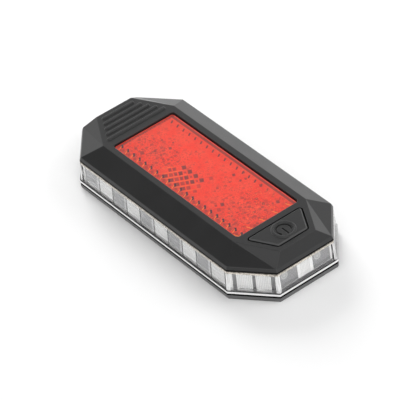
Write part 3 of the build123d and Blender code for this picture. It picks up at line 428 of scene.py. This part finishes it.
# LEDs behind the end panes, where their painted glint rings sit, in millimetres: distance to either side of
# their middle, the middle, height
END_LIGHT_Y = 6.65
END_LIGHT_MIDDLE = -1.5
END_LIGHT_Z = 7.6

# Painted glint rings of such an LED dome: where they fade in millimetres, radians per millimetre, share,
# tone
GLINT_RING_FULL = 0.9
GLINT_RING_END = 1.7
RING_RATE = 7.0
RING_SHARE = 0.6
GLINT_RING_TONE = 0.56


def pane_grey(name, base, rough, led_glints):
    """Grey smoked pane; a side pane has a lighter strip towards +X, an end pane painted glint rings of the
    LED dome behind it.
    """
    material, t = new_material(name)
    x, y, z, place = millimetres(t)
    cloud = t.noise(place, PANE_CLOUD, PANE_DETAIL)
    tone = t.mix_colour(cloud, scaled(base, PANE_DARK), scaled(base, PANE_LIGHT))
    # painted glints: lighter rings of the LED dome behind each end pane
    if led_glints:
        side = t.minus(t.math("ABSOLUTE", t.minus(y, END_LIGHT_MIDDLE)), END_LIGHT_Y)
        away = t.distance(side, t.minus(z, END_LIGHT_Z))
        rings = t.math("MULTIPLY_ADD", t.math("SINE", t.times(away, RING_RATE)), 0.5, 0.5)
        ringed = t.math("MULTIPLY_ADD", rings, RING_SHARE, 1 - RING_SHARE)
        led_glint = t.times(t.ramp(away, GLINT_RING_FULL, GLINT_RING_END, 1.0, 0.0), ringed)
        tone = t.mix_colour(led_glint, tone, grey(GLINT_RING_TONE))
    else:
        local = wrap(t, x, PANE_X, PANE_PITCH)
        strip = t.ramp(local, PANE_STRIP - PANE_SOFT, PANE_STRIP + PANE_SOFT)
        tone = t.mix_colour(strip, tone, grey(PANE_STRIP_TONE))
    normal, _ = grain(t, SMOKED)
    t.surface(t.principled({"Base Color": tone, "Roughness": rough, "Normal": normal}))
    return material


# Outline of the lip, in millimetres: how far inside the flange it lies, half sizes, its corners' distance
LIP_INSET = 1.33
LIP_X, LIP_Y = (length - LIP_INSET for length in limits("side_lens")[1][:2])
LIP_CORNER = 40.448

# Direction that the corner faces of lip and frame look in, in plan
CORNER_NORMAL = (0.637, 0.771)


def outwards(t, x, y):
    """Distance outside the lip's outline, from the absolute values of X and Y."""
    corner = t.math("MULTIPLY_ADD", y, CORNER_NORMAL[1], -LIP_CORNER)
    corner = t.math("MULTIPLY_ADD", x, CORNER_NORMAL[0], corner)
    return t.most(corner, t.most(t.minus(x, LIP_X), t.minus(y, LIP_Y)))


# Flange of the clear band, in millimetres: distance outside the lip, softness, top, height of its foot
FLANGE_FROM = 0.98
FLANGE_SOFT = 0.04
FLANGE_TOP = 3.35
FLANGE_FOOT = 2.42

# Painted shade line over the flange: heights between which it rises, signed Y between which it fades towards
# the far side, what is left
OVER_FROM = 3.05
OVER_TO = 3.13
OVER_FADE_FROM = 10.5
OVER_FADE_TO = 12.0
OVER_LEFT = 0.25

# Ledge at the top of the band: heights between which it begins
LEDGE_FROM = 9.65
LEDGE_TO = 9.85

# Corners of the band in plan, milky in upright streaks as a painted highlight, how far they reach and their
# softness, in millimetres
HIGHLIGHT_CORNERS = [(38.25, 21.75), (50.65, 11.45)]
CORNER_REACH = 0.9
CORNER_SOFT = 0.2

# Milky shares of flange and ledge, and the range of the upright streaks of the corners' painted highlight
FLANGE_MILKY = 0.9
LEDGE_MILKY = 0.75
STREAK_STRETCH = (1.0, 1.0, 0.06)
STREAK_SCALE = 2.2
STREAK_DETAIL = 2.0
STREAK_RANGE = (0.35, 0.6, 0.5, 0.85)

# Cloud of the ledge: scale per millimetre, detail, the values between which it changes
LEDGE_CLOUD = 1.9
LEDGE_DETAIL = 3.0
LEDGE_CLOUD_RANGE = (0.45, 0.6)

# Gloss and tones of the clear band
LENS_ROUGH = 0.03
LENS_IOR = 1.5
LENS_TONE = grey(0.98)
MILKY_TONE = grey(0.82)
OVER_SHADE_TONE = colour(0.05, 0.05, 0.052)
LEDGE_LIGHT = colour(0.74, 0.68, 0.6)
LEDGE_DARK = colour(0.33, 0.3, 0.26)
LENS_PASSED = grey(0.95)
MILKY_PASSED = grey(0.1)


def lens_clear():
    """Clear moulded plastic: milky flange with a painted shade line over it, a painted highlight of milky
    upright streaks at the corners, a duller top ledge.
    """
    material, t = new_material("lens_clear")
    x, signed_y, z, place = millimetres(t)
    x, y = t.math("ABSOLUTE", x), t.math("ABSOLUTE", signed_y)
    flange = t.ramp(outwards(t, x, y), FLANGE_FROM - FLANGE_SOFT, FLANGE_FROM)
    flange = t.times(flange, t.math("LESS_THAN", z, FLANGE_TOP))
    flange = t.most(flange, t.math("LESS_THAN", z, FLANGE_FOOT))
    # painted shade line just over the flange, fading towards the far side
    shade_line = t.times(flange, t.ramp(z, OVER_FROM, OVER_TO))
    shade_line = t.times(shade_line, t.ramp(signed_y, OVER_FADE_FROM, OVER_FADE_TO, 1.0, OVER_LEFT))
    ledge = t.ramp(z, LEDGE_FROM, LEDGE_TO)
    # painted highlight: the corners of the band turn milky in upright streaks
    corner = 0.0
    for corner_x, corner_y in HIGHLIGHT_CORNERS:
        away = t.distance(t.minus(x, corner_x), t.minus(y, corner_y))
        corner = t.most(corner, t.ramp(away, CORNER_REACH - CORNER_SOFT, CORNER_REACH, 1.0, 0.0))
    highlight_streak = t.noise(t.vector("MULTIPLY", place, STREAK_STRETCH), STREAK_SCALE, STREAK_DETAIL)
    milky = t.most(t.times(flange, FLANGE_MILKY), t.times(ledge, LEDGE_MILKY))
    milky = t.most(milky, t.times(corner, t.ramp(highlight_streak, *STREAK_RANGE)))
    cloud = t.noise(place, LEDGE_CLOUD, LEDGE_DETAIL)
    tone = t.mix_colour(t.most(corner, flange), LENS_TONE, MILKY_TONE)
    tone = t.mix_colour(shade_line, tone, OVER_SHADE_TONE)
    dull = t.mix_colour(t.ramp(cloud, *LEDGE_CLOUD_RANGE), LEDGE_LIGHT, LEDGE_DARK)
    tone = t.mix_colour(ledge, tone, dull)
    normal, _ = grain(t, CLEAR)
    shader = t.principled({
        "Base Color": tone, "Roughness": LENS_ROUGH, "IOR": LENS_IOR, "Normal": normal,
        "Transmission Weight": t.minus(1.0, milky),
    })
    let_lamps_through(t, shader, t.mix_colour(milky, LENS_PASSED, MILKY_PASSED))
    return material


# Corner faces of the white frame, in millimetres: middle, half length, softness, distance
PANEL_X = 43.25
PANEL_Y = 15.3
PANEL_HALF = 7.1
PANEL_SOFT = 0.05
PANEL_FACE = 39.34

# Slots of these faces, grey with painted shade: depth, bars of painted shade along the face with middle and
# half width, depth and height of a bar
SLOT_FROM = 0.3
SLOT_TO = 0.4
PANEL_BARS = [(-6.0, 0.65), (0.2, 0.55), (6.25, 0.7)]
BAR_SOFT = 0.04
BAR_FROM = 1.0
BAR_TO = 1.1
BAR_TOP = 3.5

# Flutes of these faces: depths between which their painted shade rises
FLUTE_FROM = 0.08
FLUTE_TO = 0.16

# End face of the frame in X, in millimetres
FRAME_END = limits("cell_frame")[1][0]

# Block between the end panes, in millimetres: half width, softness, X between which its grooves, grey with
# painted shade, end
BLOCK_HALF = 2.0
BLOCK_SOFT = 0.1
BLOCK_FROM = FRAME_END - 0.14
BLOCK_TO = FRAME_END - 0.06

# Dividers between the cells, in millimetres: spacing, half width, softness, end of the cells
CELL_PITCH = 7.25
CELL_LINE = 0.3
CELL_SOFT = 0.05
CELLS_HALF = 36.9

# Rail under the panes, in millimetres: how far below them it ends, then the dashed line of painted shadow
# and the painted shade below
RAIL_GAP = 0.08
RAIL_TOP = limits("near_side_panes")[0][2] - RAIL_GAP
DASH_BELOW = 0.16
DASH_HALF = 0.14
DASH_SOFT = 0.04
DASH_SHARE = 0.8
DASH_RANGE = (0.35, 0.5)
RAIL_SHADE = (0.8, 0.95, 0.0, 0.3)

# Foot of the end face, grey with painted shade, in millimetres: least X, half width
FOOT_X = FRAME_END - 0.2
FOOT_HALF = 10.5

# Cloud, gloss and tones of the frame, with the tones of its painted shade
FRAME_CLOUD = 0.4
FRAME_DETAIL = 3.0
FRAME_ROUGH = 0.35
FRAME_DULL = colour(0.93, 0.93, 0.92)
FRAME_WHITE = colour(0.97, 0.97, 0.965)
FLUTE_SHADE_TONE = grey(0.82)
SLOT_SHADE_TONE = colour(0.26, 0.26, 0.265)
CELL_LINE_TONE = colour(0.12, 0.12, 0.125)
RAIL_SHADE_TONE = grey(0.16)
FOOT_SHADE_TONE = colour(0.2, 0.2, 0.205)


def panel_shades(t, x, y, z):
    """Painted shade in the slots and flutes of the frame's corner faces, from the absolute values of X and
    Y.
    """
    along = t.times(t.minus(x, PANEL_X), CORNER_NORMAL[1])
    along = t.math("MULTIPLY_ADD", t.minus(y, PANEL_Y), -CORNER_NORMAL[0], along)
    face = t.math("MULTIPLY_ADD", x, CORNER_NORMAL[0], t.times(y, CORNER_NORMAL[1]))
    deep = t.minus(PANEL_FACE, face)
    here = within(t, along, PANEL_HALF, PANEL_SOFT)
    # painted shade deep in the slots, and along the bars down the face
    slot = t.times(here, t.ramp(deep, SLOT_FROM, SLOT_TO))
    low = t.math("LESS_THAN", z, BAR_TOP)
    shallow = t.ramp(deep, BAR_FROM, BAR_TO, 1.0, 0.0)
    for middle, half in PANEL_BARS:
        bar = t.times(within(t, t.minus(along, middle), half, BAR_SOFT), shallow)
        slot = t.most(slot, t.times(bar, low))
    return slot, t.times(here, t.ramp(deep, FLUTE_FROM, FLUTE_TO))


def frame_white():
    """White moulded plastic with painted shade in the slots and flutes of its corner faces, the grooves of
    the end block, along the rail under the panes and at the foot of its end face, and with dark dividers.
    """
    material, t = new_material("frame_white")
    x, signed_y, z, place = millimetres(t)
    x, y = t.math("ABSOLUTE", x), t.math("ABSOLUTE", signed_y)
    slot, flute_shade = panel_shades(t, x, y, z)
    # painted shade in the grooves of the end block
    block_shade = t.ramp(x, BLOCK_FROM, BLOCK_TO, 1.0, 0.0)
    block_shade = t.times(within(t, signed_y, BLOCK_HALF, BLOCK_SOFT), block_shade)
    cloud = t.noise(place, FRAME_CLOUD, FRAME_DETAIL)
    tone = t.mix_colour(cloud, FRAME_DULL, FRAME_WHITE)
    tone = t.mix_colour(t.most(flute_shade, block_shade), tone, FLUTE_SHADE_TONE)
    tone = t.mix_colour(slot, tone, SLOT_SHADE_TONE)
    divider = within(t, wrap(t, x, 0.0, CELL_PITCH), CELL_LINE, CELL_SOFT)
    divider = t.times(divider, t.math("LESS_THAN", x, CELLS_HALF))
    tone = t.mix_colour(divider, tone, CELL_LINE_TONE)
    below = t.minus(RAIL_TOP, z)
    # painted shadow: dashed dark line just under the panes, with painted shade lower down the rail
    dash_shadow = within(t, t.minus(below, DASH_BELOW), DASH_HALF, DASH_SOFT)
    dash_shadow = t.times(dash_shadow, t.ramp(cloud, *DASH_RANGE))
    rail_shade = t.most(t.times(dash_shadow, DASH_SHARE), t.ramp(below, *RAIL_SHADE))
    tone = t.mix_colour(rail_shade, tone, RAIL_SHADE_TONE)
    # painted shade at the foot of the end face
    foot_shade = t.times(t.math("GREATER_THAN", x, FOOT_X), t.math("LESS_THAN", y, FOOT_HALF))
    foot_shade = t.times(foot_shade, t.math("GREATER_THAN", below, 0.0))
    tone = t.mix_colour(foot_shade, tone, FOOT_SHADE_TONE)
    normal, _ = grain(t, SMOOTH)
    t.surface(t.principled({"Base Color": tone, "Roughness": FRAME_ROUGH, "Normal": normal}))
    return material


# Face of the reflector, in millimetres: how far inside its flange it lies, middle, half sizes, corner radius
FACE_INSET = 1.25
REFLECTOR_LOW, REFLECTOR_HIGH = limits("reflector")
WINDOW_X = (REFLECTOR_LOW[0] + REFLECTOR_HIGH[0]) / 2
WINDOW_HALF_X = (REFLECTOR_HIGH[0] - REFLECTOR_LOW[0]) / 2 - FACE_INSET
WINDOW_HALF_Y = REFLECTOR_HIGH[1] - FACE_INSET
WINDOW_CORNER = 1.1

# Hexagonal grid of cube corners, in millimetres: spacing, distance of its rows, place of one
CUBE_PITCH = 3.03
CUBE_ROW = 2.62
CUBE_X = -0.83
CUBE_Y = -2.38

# Rows of cubes with painted dark reflections, in millimetres: direction, place, spacing, half width of the
# painted orange glint line between two rows
ROW_TURN = 60.0
ROW_START = -0.5
ROW_PITCH = 2.624
ROW_LINE = 0.16

# Softness of such marks and lines along Y, across the row and at the ends of the rows
ROW_SOFT = 0.1
ROW_SIDE_SOFT = 0.12
ROW_END_SOFT = 0.01

# Painted dark reflections on the rows: y, half length, half width, first and last row, strength
ROW_MARKS = [
    (-2.38, 0.59, 0.98, -1, 2, 0.95),
    (-5.0, 0.55, 0.95, -1, 1, 0.95),
    (-5.1, 0.5, 0.8, 2, 2, 0.75),
    (-4.84, 0.5, 0.9, -2, -2, 0.45),
    (0.15, 0.5, 0.8, -1, -1, 0.35),
    (-3.7, 0.3, 0.45, -1, 1, 0.6),
    (-6.35, 0.42, 0.85, -1, 2, 0.8),
    (-7.7, 0.55, 0.85, -2, 1, 0.6),
    (-9.2, 0.6, 0.85, -2, 1, 0.85),
]

# Single painted dark reflections, picked in the photo: x, y, half size in millimetres, strength
DARK_REFLECTION_SPOTS = [
    (-22.5, -7.35, 0.8, 0.6), (-20.2, -3.8, 0.55, 0.7), (-17.8, 0.5, 0.6, 0.75), (-19.4, 3.0, 0.4, 0.6),
    (-23.0, 1.2, 0.45, 0.55), (-14.7, 0.8, 0.4, 0.6), (-17.1, -3.8, 0.5, 0.5), (-14.9, -4.6, 0.45, 0.5),
    (16.3, -5.2, 0.75, 0.85), (7.5, 6.5, 0.6, 0.75), (17.7, 9.3, 0.6, 0.6), (21.9, 4.2, 0.5, 0.6),
    (25.2, 4.2, 0.6, 0.65), (27.2, 6.4, 0.35, 0.6), (27.8, 8.0, 0.7, 0.65), (8.9, -1.3, 0.5, 0.4),
    (-25.8, -7.4, 0.6, 0.5), (8.9, 9.6, 0.4, 0.45), (9.3, 3.4, 0.4, 0.4), (-10.5, 5.4, 0.35, 0.4),
    (11.2, 6.3, 0.45, 0.75), (11.7, 8.0, 0.45, 0.6), (3.6, 0.4, 0.7, 0.35), (4.8, -7.2, 0.75, 0.9),
    (19.6, -5.1, 0.5, 0.45), (17.6, -7.6, 0.75, 0.4), (15.3, -7.0, 0.5, 0.45),
]

# Power that lifts the faint spots towards the strong ones
SPOT_POWER = 0.55

# Length and width of a spot as shares of its size, and its softness in millimetres
SPOT_ALONG = 0.8
SPOT_ACROSS = 1.1
SPOT_SOFT = 0.15

# Rows of painted reflections along the long sides, dark ticks, orange flame glints and dark patches: first
# x, spacing, y, turn, half length, half width, softness
NEAR_TICKS = (-29.75, 3.08, -9.85, -35.0, 0.9, 0.32, 0.08)
FLAME_GLINTS = (-29.55, 3.08, -10.85, -63.0, 0.85, 0.11, 0.1)
DARK_REFLECTION_PATCHES = (-31.0, 3.08, -10.9, 145.0, 0.75, 0.5, 0.25)
FAR_TICKS = (-28.2, 3.07, 9.35, 125.0, 0.75, 0.28, 0.12)
DARK_PATCH_SHARE = 0.62
FAR_TICK_FADE = (16.0, 24.0, 1.0, 0.4)

# Painted orange glints at the key end: x, place of one in Y, turn, half length, half width, softness, share
GLINT_X = 31.2
GLINT_Y = -1.05
GLINT_TURN = 20.0
GLINT_HALF = 1.1
GLINT_HALF_ACROSS = 0.16
GLINT_SOFT = 0.12
GLINT_SHARE = 0.9

# Zones of the reflector with more or other marks, in millimetres: middle, half sizes, softness
KEY_END_ZONE = ((27.0, 1.0), (11.0, 13.0), 0.6)
NEAR_LEFT_ZONE = ((-19.0, -4.5), (13.0, 6.5), 0.6)
CLUSTER_ZONE = ((-3.0, -6.6), (8.5, 4.2), 0.3)

# Ranges of Y over which marks change: near band of painted dark reflections, quieter far side, orange glint
# lines of the cluster, painted rim highlight weaker on the near side
NEAR_BAND = (-7.5, -11.0)
FAR_QUIET = (8.0, 2.0, 0.35, 1.0)
LINES_FADE = (-3.0, -5.0)
RIM_FADE = (-10.0, -4.0, 0.15, 1.0)

# Noises of the reflector: scales per millimetre, detail, and what their ranges turn into
FINE_SCALE = 1.5
COARSE_SCALE = 0.25
NOISE_DETAIL = 2.0
BUSY_RANGE = (0.45, 0.62, 0.25, 0.8)
NEAR_BAND_RANGE = (0.42, 0.58, 0.0, 0.5)
BROKEN_RANGE = (0.42, 0.55)
HUE_RANGE = (0.3, 0.7)

# Curved painted dark reflections along a level of the fine noise: level, inner and outer distance from it,
# share
ARC_LEVEL = 0.56
ARC_INNER = 0.01
ARC_OUTER = 0.05
ARC_SHARE = 0.55

# Nets of specks, two of painted dark reflections and one of painted orange glints: cells per millimetre,
# least and greatest size
LARGE_SPECKS = (0.6, 0.0, 0.42)
SMALL_SPECKS = (1.3, 0.05, 0.42)
SPARKS = (1.1, -0.3, 0.2)
SMALL_SHARE = 0.8
SPECK_EDGE = (-0.1, 0.05, 1.0, 0.0)

# Strength of small marks and sparks in a busy zone, as gain and base
BUSY_GAIN = 0.5
BUSY_BASE = 0.08
SPARK_GAIN = 0.5
SPARK_BASE = 0.25

# Faint painted dark reflection in the face of each cube: half sizes and softness in millimetres, and how its
# random value counts
FAINT_HALF = (0.62, 0.9)
FAINT_SOFT = 0.12
FAINT_RANGE = (0.45, 1.0, 0.0, 0.45)

# Painted dark reflection lines inside the rim, in millimetres: distance from the left or the far edge, half
# width, softness
LEFT_EDGE_REFLECTION = (1.15, 0.42, 0.12)
FAR_EDGE_REFLECTION = (1.2, 0.45, 0.1)

# Shares of the painted dark edge lines, of the cluster's painted orange glint lines, and of the small marks
# that the cluster hides
EDGE_REFLECTION_SHARE = 0.75
LINES_SHARE = 0.3
CLUSTER_CALM = 0.6

# Distances from the window's edge, in millimetres: end of the painted shadow in the gap, end of the rim with
# its painted highlight
GAP_EDGE = (0.2, 0.35, 1.0, 0.0)
RIM_EDGE = (0.5, 0.65, 1.0, 0.0)

# Reds of the reflector: its own deep and bright red, painted rim highlight, painted dark reflection, painted
# tick reflection, painted orange glint, painted shadow in the gap, the red of its clear inside and of the
# light it passes
RED_DEEP = colour(0.93, 0.06, 0.036)
RED_BRIGHT = colour(0.95, 0.082, 0.048)
RED_RIM_HIGHLIGHT = colour(1.0, 0.12, 0.09)
RED_DARK_REFLECTION = colour(0.17, 0.052, 0.048)
RED_TICK_REFLECTION = colour(0.07, 0.045, 0.055)
RED_GLINT = colour(1.0, 0.25, 0.05)
RED_GAP_SHADOW = colour(0.02, 0.003, 0.003)
RED_INSIDE = colour(1.0, 0.07, 0.045)
RED_PASSED = colour(0.9, 0.08, 0.05)

# Gloss of the reflector's face, its index of refraction, and the share of its clear inside in what is seen
RED_ROUGH = 0.06
RED_IOR = 1.49
INSIDE_SHARE = 0.18


def cube_cell(t, x, y):
    """Place inside the nearest cube corner of the hexagonal grid, and a random value for each cube."""
    ax, ay = wrap(t, x, CUBE_X, CUBE_PITCH), wrap(t, y, CUBE_Y, 2 * CUBE_ROW)
    bx = wrap(t, x, CUBE_X + CUBE_PITCH / 2, CUBE_PITCH)
    by = wrap(t, y, CUBE_Y + CUBE_ROW, 2 * CUBE_ROW)
    nearer = t.math("LESS_THAN", t.squares(bx, by), t.squares(ax, ay))
    lx = t.math("MULTIPLY_ADD", nearer, t.minus(bx, ax), ax)
    ly = t.math("MULTIPLY_ADD", nearer, t.minus(by, ay), ay)
    column = t.math("ROUND", t.math("DIVIDE", t.minus(x, lx), CUBE_PITCH / 2))
    row = t.math("ROUND", t.math("DIVIDE", t.minus(y, ly), CUBE_ROW))
    number = t.add("ShaderNodeCombineXYZ", {0: column, 1: row}).outputs[0]
    random = t.add("ShaderNodeTexWhiteNoise", {"Vector": number}, noise_dimensions="3D").outputs["Value"]
    return lx, ly, random


def rim_distance(t, x, y):
    """Distance from the edge of the window, inwards."""
    qx = t.minus(t.math("ABSOLUTE", x), WINDOW_HALF_X - WINDOW_CORNER)
    qy = t.minus(t.math("ABSOLUTE", y), WINDOW_HALF_Y - WINDOW_CORNER)
    outside = t.distance(t.most(qx, 0.0), t.most(qy, 0.0))
    inside = t.math("MINIMUM", t.most(qx, qy), 0.0)
    return t.minus(WINDOW_CORNER, t.math("ADD", outside, inside))


def row_marks(t, x, y):
    """Painted dark reflections in cubes of the rows, and the painted orange glint lines between the rows."""
    _, across = turned(t, x, y, ROW_TURN)
    off = wrap(t, across, ROW_START, ROW_PITCH)
    row = t.math("DIVIDE", t.minus(t.minus(across, off), ROW_START), ROW_PITCH)
    level_y = t.math("MULTIPLY_ADD", off, -math.cos(math.radians(ROW_TURN)), y)
    dark_reflection = 0.0
    for place, half_y, half_off, first, last, level in ROW_MARKS:
        here = within(t, t.minus(level_y, place), half_y, ROW_SOFT)
        mark = t.times(here, within(t, off, half_off, ROW_SIDE_SOFT))
        rows = within(t, t.minus(row, (first + last) / 2), (last - first) / 2 + 0.5, ROW_END_SOFT)
        dark_reflection = t.most(dark_reflection, t.times(mark, rows, level))
    edge = ROW_PITCH / 2 - ROW_LINE
    return dark_reflection, t.ramp(t.math("ABSOLUTE", off), edge - ROW_SOFT, edge)


def single_spots(t, x, y):
    """Painted dark reflections in spots scattered over the cubes."""
    dark_reflection = 0.0
    for spot_x, spot_y, half, level in DARK_REFLECTION_SPOTS:
        dx, dy = t.minus(x, spot_x), t.minus(y, spot_y)
        spot = patch(t, dx, dy, ROW_TURN, half * SPOT_ALONG, half * SPOT_ACROSS, SPOT_SOFT)
        dark_reflection = t.most(dark_reflection, t.times(spot, level ** SPOT_POWER))
    return dark_reflection


def side_row(t, x, y, row):
    """One of the rows of painted reflections along the long sides."""
    start, pitch, row_y, degrees, half_along, half_across, soft = row
    return patch(t, wrap(t, x, start, pitch), t.minus(y, row_y), degrees, half_along, half_across, soft)


def specks(t, place, net):
    """Round specks of random size, one for each cell of a random net."""
    scale, least, greatest = net
    cells = t.add("ShaderNodeTexVoronoi", {"Vector": place, "Scale": scale}, voronoi_dimensions="2D").outputs
    random = t.add("ShaderNodeSeparateColor", {0: cells["Color"]}).outputs[0]
    size = t.ramp(random, 0.0, 1.0, least, greatest, "LINEAR")
    return t.ramp(t.minus(cells["Distance"], size), *SPECK_EDGE)


def small_marks(t, x, y, place, fine, coarse, key_end):
    """Fine painted dark reflections between the larger ones: specks, curved marks, faint cube faces, a band
    along the near side and single spots.
    """
    lx, ly, random = cube_cell(t, x, y)
    near_left = ellipse(t, x, y, NEAR_LEFT_ZONE)
    busy = t.most(t.most(key_end, near_left), t.ramp(coarse, *BUSY_RANGE))
    busy = t.times(busy, t.ramp(y, *FAR_QUIET))
    faint = t.times(patch(t, lx, ly, ROW_TURN, *FAINT_HALF, FAINT_SOFT), t.ramp(random, *FAINT_RANGE))
    arcs = t.ramp(t.math("ABSOLUTE", t.minus(fine, ARC_LEVEL)), ARC_INNER, ARC_OUTER, 1.0, 0.0)
    small = t.times(specks(t, place, SMALL_SPECKS), SMALL_SHARE)
    marks = t.most(specks(t, place, LARGE_SPECKS), small, t.times(arcs, ARC_SHARE))
    dark_reflection = t.times(marks, t.math("MULTIPLY_ADD", busy, BUSY_GAIN, BUSY_BASE))
    dark_reflection = t.most(dark_reflection, t.times(faint, t.most(key_end, t.times(busy, BUSY_GAIN))))
    near_band = t.times(t.ramp(y, *NEAR_BAND), t.ramp(fine, *NEAR_BAND_RANGE))
    return t.most(dark_reflection, near_band, single_spots(t, x, y))


def dark_edge_reflections(t, x, y, fine):
    """Painted dark reflection lines along the left and the far edge of the window, the left one broken."""
    from_far, far_half, far_soft = FAR_EDGE_REFLECTION
    from_left, left_half, left_soft = LEFT_EDGE_REFLECTION
    left = t.math("ADD", t.minus(x, WINDOW_X), WINDOW_HALF_X)
    far = t.minus(WINDOW_HALF_Y, y)
    broken = t.math("MULTIPLY_ADD", t.ramp(fine, *BROKEN_RANGE), 0.5, 0.5)
    left_reflection = t.times(within(t, t.minus(left, from_left), left_half, left_soft), broken)
    return t.most(left_reflection, within(t, t.minus(far, from_far), far_half, far_soft))


def orange_glints(t, x, y, place, key_end, lines):
    """Painted orange glints: strokes between the near ticks, glints at the key end, lines of the cluster and
    sparks.
    """
    glint = patch(t, t.minus(x, GLINT_X), wrap(t, y, GLINT_Y, 2 * CUBE_ROW), GLINT_TURN,
                  GLINT_HALF, GLINT_HALF_ACROSS, GLINT_SOFT)
    sparks = t.times(specks(t, place, SPARKS), t.math("MULTIPLY_ADD", key_end, SPARK_GAIN, SPARK_BASE))
    return t.most(side_row(t, x, y, FLAME_GLINTS), t.times(glint, GLINT_SHARE), lines, sparks)


def reflector_red():
    """Red cube-corner reflector: its own reds on the face with painted reflections, glints, a rim highlight
    and the shadow of the gap round it, over clear red plastic.
    """
    material, t = new_material("reflector_red")
    x, y, _, place = millimetres(t)
    fine = t.noise(place, FINE_SCALE, NOISE_DETAIL)
    coarse = t.noise(place, COARSE_SCALE, NOISE_DETAIL)
    key_end = ellipse(t, x, y, KEY_END_ZONE)
    cluster = ellipse(t, x, y, CLUSTER_ZONE)
    inwards = rim_distance(t, t.minus(x, WINDOW_X), y)
    rim_highlight = t.ramp(inwards, *RIM_EDGE)
    cubes, lines = row_marks(t, x, y)
    lines = t.times(lines, t.times(cluster, t.ramp(y, *LINES_FADE)), LINES_SHARE)

    # painted dark reflections of the cube corners
    dark_reflection = small_marks(t, x, y, place, fine, coarse, key_end)
    dark_reflection = t.times(dark_reflection, t.minus(1.0, t.times(cluster, CLUSTER_CALM)))
    # painted dark reflections in rows: ticks along the far edge, patches along the near edge
    far_ticks = t.times(side_row(t, x, y, FAR_TICKS), t.ramp(x, *FAR_TICK_FADE))
    dull = t.times(side_row(t, x, y, DARK_REFLECTION_PATCHES), DARK_PATCH_SHARE)
    # painted dark reflection lines inside the left and far edges join the other marks
    dark_reflection = t.most(dark_reflection, cubes, dull, far_ticks, t.times(dark_edge_reflections(t, x, y, fine), EDGE_REFLECTION_SHARE))
    dark_reflection = t.times(dark_reflection, t.minus(1.0, rim_highlight))

    base = t.mix_colour(t.ramp(coarse, *HUE_RANGE), RED_DEEP, RED_BRIGHT)
    # painted highlight on the rim, weaker on the near side
    base = t.mix_colour(t.times(rim_highlight, t.ramp(y, *RIM_FADE)), base, RED_RIM_HIGHLIGHT)
    shown = t.mix_colour(dark_reflection, base, RED_DARK_REFLECTION)
    # painted dark tick reflections along the near edge
    shown = t.mix_colour(side_row(t, x, y, NEAR_TICKS), shown, RED_TICK_REFLECTION)
    # painted orange glints
    shown = t.mix_colour(orange_glints(t, x, y, place, key_end, lines), shown, RED_GLINT)
    # painted shadow in the gap at the window's edge
    shown = t.mix_colour(t.ramp(inwards, *GAP_EDGE), shown, RED_GAP_SHADOW)

    normal, _ = grain(t, CLEAR)
    face = t.principled({"Base Color": shown, "Roughness": RED_ROUGH, "IOR": RED_IOR, "Normal": normal})
    inside = t.principled({
        "Base Color": RED_INSIDE, "Roughness": 0.0, "IOR": RED_IOR, "Transmission Weight": 1.0,
    })
    shader = t.add("ShaderNodeMixShader", {0: INSIDE_SHARE, 1: face, 2: inside}).outputs[0]
    let_lamps_through(t, shader, RED_PASSED)
    return material


place_camera()
make_world()
make_lights()
make_floor()

cover = housing("cover_black", (0.018, 0.018, 0.0183), 0.34, COVER_SHADE_AND_LIGHT_BANDS)
key = housing("key_black", (0.016, 0.016, 0.0163), 0.36, KEY_LIGHT_BANDS, sign=True)
base = housing("base_black", (0.1, 0.1, 0.101), 0.45, BASE_BANDS)
gasket = plastic("gasket_black", (0.01, 0.01, 0.01), 0.6)
rubber = plastic("port_rubber", (0.03, 0.03, 0.03), 0.6)
tape = plastic("tape_black", (0.02, 0.02, 0.02), 0.8)
white = frame_white()
pane = pane_grey("pane_grey", (0.5, 0.5, 0.51), 0.25, led_glints=False)
end_pane = pane_grey("end_pane_grey", (0.26, 0.26, 0.265), 0.15, led_glints=True)
led = plastic("led_white", (0.9, 0.87, 0.72), 0.15, skin=SMOOTHER, spread=0.02)
green = plastic("board_green", (0.02, 0.16, 0.06), 0.35)
strip = plastic("strip_white", (0.8, 0.8, 0.78), 0.4, spread=0.03)
chip = plastic("chip_black", (0.02, 0.02, 0.02), 0.45)
tan = plastic("chip_tan", (0.42, 0.3, 0.18), 0.5)
steel = plastic("steel", (0.62, 0.61, 0.59), 0.28, spread=0.05, metallic=1.0)
spring = plastic("spring_steel", (0.65, 0.64, 0.6), 0.2, spread=0.05, metallic=1.0)
foil = plastic("pouch_foil", (0.68, 0.69, 0.71), 0.35, skin=CREASED, metallic=1.0)
red_lead = plastic("lead_red", (0.5, 0.02, 0.02), 0.45)
black_lead = plastic("lead_black", (0.02, 0.02, 0.02), 0.45)
lens = lens_clear()
red = reflector_red()

materials = {
    "top_cover": cover, "bottom_cover": base, "power_button": key, "switch_plunger": key,
    "reflector": red, "reflector_tape": tape, "battery_tape": tape, "button_gasket": gasket,
    "top_gasket": gasket, "base_gasket": gasket, "side_lens": lens, "cell_frame": white,
    "near_side_leds": led, "far_side_leds": led, "button_end_leds": led, "rear_leds": led,
    "charge_light": led, "light_chamber": white,
    "near_side_panes": pane, "far_side_panes": pane, "button_end_panes": end_pane,
    "near_led_strip": strip, "far_led_strip": strip, "button_end_led_strip": strip,
    "main_board": green, "battery_board": green, "controller_chip": chip, "charger_chip": chip,
    "driver_inductor": chip, "resistors": chip, "switch_body": chip, "usb_blade": chip,
    "capacitors": tan, "usb_shell": steel, "cover_screws": steel, "switch_dome": spring,
    "battery": foil, "battery_lead_near": red_lead, "battery_lead_far": black_lead,
    "port_cover": rubber, "port_strap": rubber,
}
for name, material in materials.items():
    for slot in nodes[name].material_slots:
        slot.material = material

bpy.context.scene.view_settings.view_transform = "Standard"
